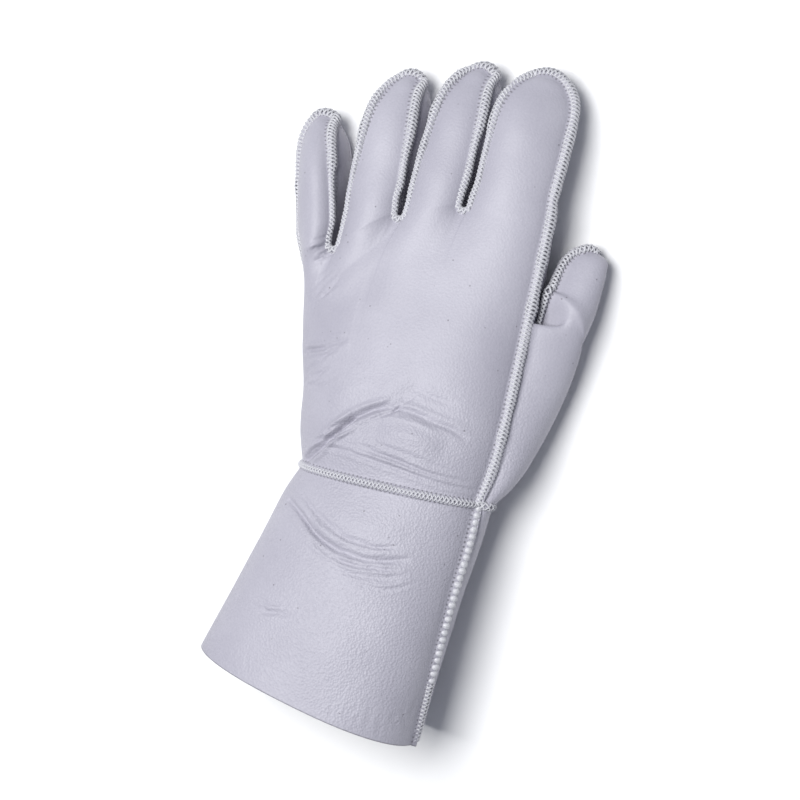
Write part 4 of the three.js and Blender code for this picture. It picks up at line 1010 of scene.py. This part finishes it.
wool = Look("cream_wool")
fleck = wool.textured("Noise", "Fac", Scale=420.0, Detail=5.0)
# Painted shade: the wool is painted darker where its locks are low and darkest at the leather. The
# flecks and each tuft's seeded value also vary its tone.
shade = wool.math("MULTIPLY_ADD", wool.mark("wool_depth"), 0.75, 0.0)
shade = wool.math("MULTIPLY_ADD", fleck, 0.3, shade)
cream = wool.ramp(shade, 0.0, (0.42, 0.4, 0.38), 1.0, (0.78, 0.75, 0.72))
wool.finish(cream, fleck, 0.001, 0.7, Roughness=0.9, Sheen_Weight=0.35)


def wool_tube(name, ring, clearance, stands_for):
    """A closed tube of wool inside a leather ring of rows: the outer side follows the leather, and
    the inner side stands off it by the wool's depth and seeded locks. The mark wool_depth is the
    height of the locks, and -1 at the leather; the wool is painted darker by it, as painted shade
    in its depths."""
    rows, count = ring.shape[:2]
    centre_line = ring.mean(1, keepdims=True)
    around = np.roll(ring, -1, 1) - np.roll(ring, 1, 1)
    normal = unit(np.cross(around, np.gradient(ring, axis=0)))
    to_centre = centre_line - ring
    to_centre[..., 1] = 0
    to_centre = unit(to_centre)
    normal = normal * -np.sign((normal * to_centre).sum(-1, keepdims=True))
    outside = ring - normal * (LEATHER + WOOL_CLEARANCE + clearance)
    flat = outside.reshape(-1, 3)
    locks = np.abs(swell(flat, 7, 11)) + 0.8 * np.abs(swell(flat, 4.2, 12))
    locks = (locks + 0.5 * swell(flat, 14, 13)).reshape(rows, count, 1)
    inside = outside + to_centre * (WOOL_DEPTH + LOCK_HEIGHT * (locks - 0.3))
    leather_side = np.full((rows, count, 1), -1.0)
    points_and_marks = [
        np.concatenate([outside, inside[::-1], outside[:1]]),
        np.concatenate([leather_side, locks[::-1], leather_side[:1]]),
    ]
    loop, mark = (np.concatenate([grid, grid[:, :1]], axis=1) for grid in points_and_marks)
    points, triangles, index = weld([loop])
    a, b, c = (points[triangles[:, k]] for k in range(3))
    if (a * np.cross(b, c)).sum() < 0:
        triangles = triangles[:, ::-1]
    marks = mark.reshape(-1)[index]
    make_piece(name, points, triangles, wool, "wool", stands_for, wool_depth=marks)
    return inside, to_centre


def tufts(name, rows, inward, seed):
    """Curled tufts of wool: each starts on the wool's inner side at a seeded place and bends over,
    a closed tube that tapers to its end."""
    chance = np.random.default_rng(seed)
    row = chance.integers(0, len(rows), TUFTS)
    column = chance.integers(0, rows.shape[1], TUFTS)
    start = rows[row, column] - inward[row, column] * 1.5 + chance.normal(size=(TUFTS, 3)) * 0.4
    way = unit(inward[row, column] + chance.normal(size=(TUFTS, 3)) * 0.45)
    bend = unit(np.cross(way, chance.normal(size=(TUFTS, 3))))
    over = np.cross(way, bend)
    length = TUFT_LENGTH * chance.uniform(0.5, 1, (TUFTS, 1, 1))
    t = np.linspace(0, 1, TUFT_RINGS)[None, :, None]
    path = start[:, None] + length * (way[:, None] * np.sin(2 * t) / 2 + bend[:, None] * t**2 * 0.6)
    turn = np.linspace(0, 2 * math.pi, TUFT_SIDES, endpoint=False)[:, None]
    ring = bend[:, None, None] * np.cos(turn) + over[:, None, None] * np.sin(turn)
    points = path[:, :, None] + ring * (TUFT_RADIUS * (1 - 0.9 * t**2))[..., None]
    number = np.arange(TUFTS * TUFT_RINGS * TUFT_SIDES).reshape(TUFTS, TUFT_RINGS, TUFT_SIDES)
    a, c = number[:, :-1], number[:, 1:]
    b, d = np.roll(a, -1, 2), np.roll(c, -1, 2)
    faces = [np.stack([a, b, d], -1).reshape(-1, 3), np.stack([a, d, c], -1).reshape(-1, 3)]
    for cap in (number[:, 0, [0, 3, 2, 1]], number[:, -1]):
        faces += [cap[:, [0, 1, 2]], cap[:, [0, 2, 3]]]
    points = points.reshape(-1, 3)
    points[:, 2] = np.maximum(points[:, 2], 0.2)
    depth = chance.uniform(0.3, 1, TUFTS).repeat(TUFT_RINGS * TUFT_SIDES)
    make_piece(name, points, np.concatenate(faces), wool, "wool", wool_depth=depth)


cuff_ring = cuff_sheet(np.linspace(0.02, 1 - HEM_GAP / CUFF_LENGTH, WOOL_ROWS))[:, :-1]
near_hem = smooth(0.8, 0.97, np.linspace(0, 1, WOOL_ROWS))[:, None, None]
under_folds = FOLD_CLEARANCE * (1 - near_hem)
inside, inward = wool_tube("cuff_wool", cuff_ring[:, ::2], under_folds, ["cuff_fleece"])
tufts("wool_tufts", inside[-TUFTED_ROWS:], inward[-TUFTED_ROWS:], 31)
hand_ring = ring_around(np.linspace(0.012, 0.28, HAND_WOOL_ROWS))[:, ::2]
wool_tube("hand_wool", hand_ring, HAND_CLEARANCE + FOLD_CLEARANCE, ["hand_fleece"])

# Overcast thread: white, slightly shiny twisted thread, wound over every outseam from hole to hole.
# The two passes cross on the ridge; down the cuff's side the wraps are thick and lie like beads.
THREAD = 0.56
THIN_THREAD = 0.44
THREAD_PITCH = 1.9
STARTS = 3
FINE_THREAD = 0.38
WRAP_WIDTH = 2.3
WRAP_STEPS = 13
BEAD_PITCH = 3.4
BEAD_WIDTH = 4.1
BEAD_WAIST = 0.8
BEADED = 0.74
KNOT_SIZE = 1.5
KNOT_PLACE = np.array([2.2, 0.4, 1.0])

thread = Look("white_thread")
fibre = thread.textured("Noise", "Fac", Scale=1600.0, Detail=2.0)
white = thread.ramp(fibre, 0.3, (0.46, 0.46, 0.49), 0.7, (0.66, 0.66, 0.69))
thread.finish(white, fibre, 0.0002, 0.5, Roughness=0.42)


def tube(path, radius, sides=5):
    """A closed tube round a path: rings of points in the plane across it, carried by the path's own
    direction, and a point at each end."""
    along = unit(np.gradient(path, axis=0))
    side = unit(np.cross(along, UP + np.array([0.013, 0.021, 0.0])))
    over = np.cross(side, along)
    turn = np.linspace(0, 2 * math.pi, sides, endpoint=False)
    radius = np.broadcast_to(radius, len(path))[:, None, None]
    ring = side[:, None] * np.cos(turn)[None, :, None] + over[:, None] * np.sin(turn)[None, :, None]
    points = (path[:, None] + ring * radius).reshape(-1, 3)
    number = np.arange(len(path) * sides).reshape(len(path), sides)
    beside = np.roll(number, -1, 1)
    a, b, c, d = number[:-1], beside[:-1], beside[1:], number[1:]
    skin = np.concatenate([np.stack([a, b, c], -1), np.stack([a, c, d], -1)]).reshape(-1, 3)
    first, last = (np.full(sides, len(points) + k) for k in range(2))
    first_cap = np.stack([first, beside[0], number[0]], -1)
    last_cap = np.stack([number[-1], beside[-1], last], -1)
    points = np.concatenate([points, path[:1], path[-1:]])
    return points, np.concatenate([skin, first_cap, last_cap])


def wound(line, pitch, phase, radius, hand, wide=WRAP_WIDTH, aside=0.0, first_share=0.0):
    """Thread wound round a seam's ridge: at run s it stands at wide · cos(a) to the side and
    lift · sin(a) up, with a = 90° + 360° (phase + s / pitch), to the right or left by hand. Where
    the ridge stands steep over a gap, the winding lies aside on the back's leather."""
    run = line["run"]
    first = first_share * run[-1]
    turns = int((run[-1] - first) / pitch)
    s = first + np.linspace(0, turns * pitch, turns * WRAP_STEPS + 1)
    points, along, way = (laid(s, run, line[name]) for name in ("points", "along", "way"))
    way = unit(way)
    height = np.interp(s, run, line["height"])
    chance = np.random.default_rng(len(s))
    every_turn = s[::WRAP_STEPS]
    shake = 1 + 0.1 * np.interp(s, every_turn, chance.normal(size=len(every_turn)))
    angle = math.pi / 2 + hand * 2 * math.pi * (phase + s / pitch)
    lift = height * 0.5 + radius * 0.8 + 0.1
    steep = aside * smooth(0.75, 0.94, way[:, 2])
    sideways = (wide - steep) * shake * np.cos(angle) - steep
    upwards = height * 0.5 + lift * np.sin(angle) * shake
    path = points + np.cross(unit(along), way) * sideways[:, None] + way * upwards[:, None]
    path[:, 2] = np.maximum(path[:, 2], radius)
    return tube(path, radius)


def threads(name, strands):
    """One mesh of all the given strands."""
    points, triangles, first = [], [], 0
    for strand, faces in strands:
        points.append(strand)
        triangles.append(faces + first)
        first += len(strand)
    return make_piece(name, np.concatenate(points), np.concatenate(triangles), thread, "thread")


def beads(line, last_share):
    """Thick wraps that lie like touching beads on a ridge, as far as a share of it: the radius is
    waist + swelling · |sin(π s / pitch)|^0.6."""
    last = last_share * line["run"][-1]
    s = np.linspace(0, last, int(last / BEAD_PITCH * 10))
    path, way = (laid(s, line["run"], line[name]) for name in ("points", "way"))
    bulge = np.abs(np.sin(math.pi * s / BEAD_PITCH)) ** 0.6
    radius = BEAD_WAIST + (BEAD_WIDTH / 2 - BEAD_WAIST) * bulge
    return tube(path + way * SIDE_RIDGE * 0.55, radius * (1 + 0.16 * swell(path, 7, 21)), 10)


def knot(place, size, radius):
    """A ball of thread: a closed curve of sines with three different pitches."""
    t = np.linspace(0, 2 * math.pi, 120)
    curve = np.stack([np.sin(3 * t), np.sin(2 * t + 1), 0.7 * np.sin(5 * t + 0.4)], -1)
    return tube(np.array(place) + curve * size, radius)


def overcast(line, thick, thin, **settings):
    """The two passes of thread over a seam: a thick one and a thinner one the other way, each as
    a few parallel strands, so that the thread crosses the ridge aslant."""
    pitch = STARTS * THREAD_PITCH
    passes = [(radius, hand, k) for radius, hand in ((thick, 1), (thin, -1)) for k in range(STARTS)]
    return [wound(line, pitch, k / STARTS, radius, hand, **settings) for radius, hand, k in passes]


threads("thread_of_back", overcast(back_seam, THREAD, THIN_THREAD, aside=0.75))
threads("thread_of_wrist", overcast(wrist_seam, FINE_THREAD, FINE_THREAD, wide=1.5))
threads("thread_of_thumb", overcast(thumb_inner_seam, THREAD, THIN_THREAD))
near_hem = overcast(side_seam, FINE_THREAD, FINE_THREAD, wide=1.9, first_share=BEADED)
corner = wrist_ring[len(back_base) - 1] + KNOT_PLACE
last_knot = knot(corner, KNOT_SIZE, FINE_THREAD)
threads("thread_of_cuff", [beads(side_seam, BEADED), *near_hem, last_knot])

# Floor and light: a plain pale floor under a broad soft light from the upper left, with the camera
# where the glove is seen from above, a little from the thumb's side.
FLOOR_REACH = 4
floor_look = Look("pale_floor")
floor_look.shader.inputs["Base Color"].default_value = (0.9, 0.9, 0.9, 1)
floor_look.shader.inputs["Roughness"].default_value = 0.9
floor_mesh = bpy.data.meshes.new("floor")
corners = [(x * FLOOR_REACH, y * FLOOR_REACH, 0) for x, y in ((-1, -1), (1, -1), (1, 1), (-1, 1))]
floor_mesh.from_pydata(corners, [], [(0, 1, 2, 3)])
floor_mesh.materials.append(floor_look.material)
floor = bpy.data.objects.new("floor", floor_mesh)
floor.location.z = -0.0002
bpy.context.scene.collection.objects.link(floor)

PIXEL = 0.487
PICTURE = 800
DISTANCE = 900
TILT_TO_THUMB, TILT_TO_FINGERS, ROLL = (math.radians(angle) for angle in (19, 6, 11))
AIM = np.array([0.0, 0.0, 30.0])
FRAME_OFFSET = (11, 83)
KEY_PLACE = np.array([-0.28, 0.16, 1.43])
KEY_SIZE = 0.9
KEY_WATTS = 27
back_way = unit(np.array([math.tan(TILT_TO_THUMB), math.tan(TILT_TO_FINGERS), 1.0]))
picture_up = np.array([0.0, 1.0, 0.0])
picture_up = unit(picture_up - back_way * (picture_up @ back_way))
picture_right = np.cross(picture_up, back_way)
picture_up, picture_right = (
    picture_up * math.cos(ROLL) - picture_right * math.sin(ROLL),
    picture_right * math.cos(ROLL) + picture_up * math.sin(ROLL),
)
eye = AIM + back_way * DISTANCE
seen = AIM + (picture_right * FRAME_OFFSET[0] + picture_up * FRAME_OFFSET[1]) * PIXEL
ahead = unit(seen - eye)
right = unit(np.cross(ahead, picture_up))


def stand(thing, right, up, back, place):
    """Adds a camera or light that stands at a place, by its own three axes."""
    turned = np.eye(4)
    turned[:3] = np.stack([right, up, back, place], -1)
    thing.matrix_world = Matrix(turned.tolist())
    bpy.context.scene.collection.objects.link(thing)


camera_data = bpy.data.cameras.new("camera")
camera_data.lens = camera_data.sensor_width * np.linalg.norm(seen - eye) / (PICTURE * PIXEL)
camera_data.clip_start, camera_data.clip_end = 0.01, 20
camera = bpy.data.objects.new("camera", camera_data)
stand(camera, right, np.cross(right, ahead), -ahead, (eye + WRIST_PLACE) * METRES)
bpy.context.scene.camera = camera

key_data = bpy.data.lights.new("key", "AREA")
key_data.size, key_data.energy = KEY_SIZE, KEY_WATTS
facing = -unit(KEY_PLACE)
across = unit(np.cross(facing, [0.1, 1, 0.2]))
key = bpy.data.objects.new("key", key_data)
stand(key, across, np.cross(across, facing), -facing, KEY_PLACE)

world = bpy.data.worlds.new("studio")
world.use_nodes = True
background = world.node_tree.nodes["Background"]
background.inputs["Color"].default_value = (0.86, 0.92, 1.08, 1)
background.inputs["Strength"].default_value = 0.22
bpy.context.scene.world = world
bpy.context.scene.view_settings.view_transform = "Standard"
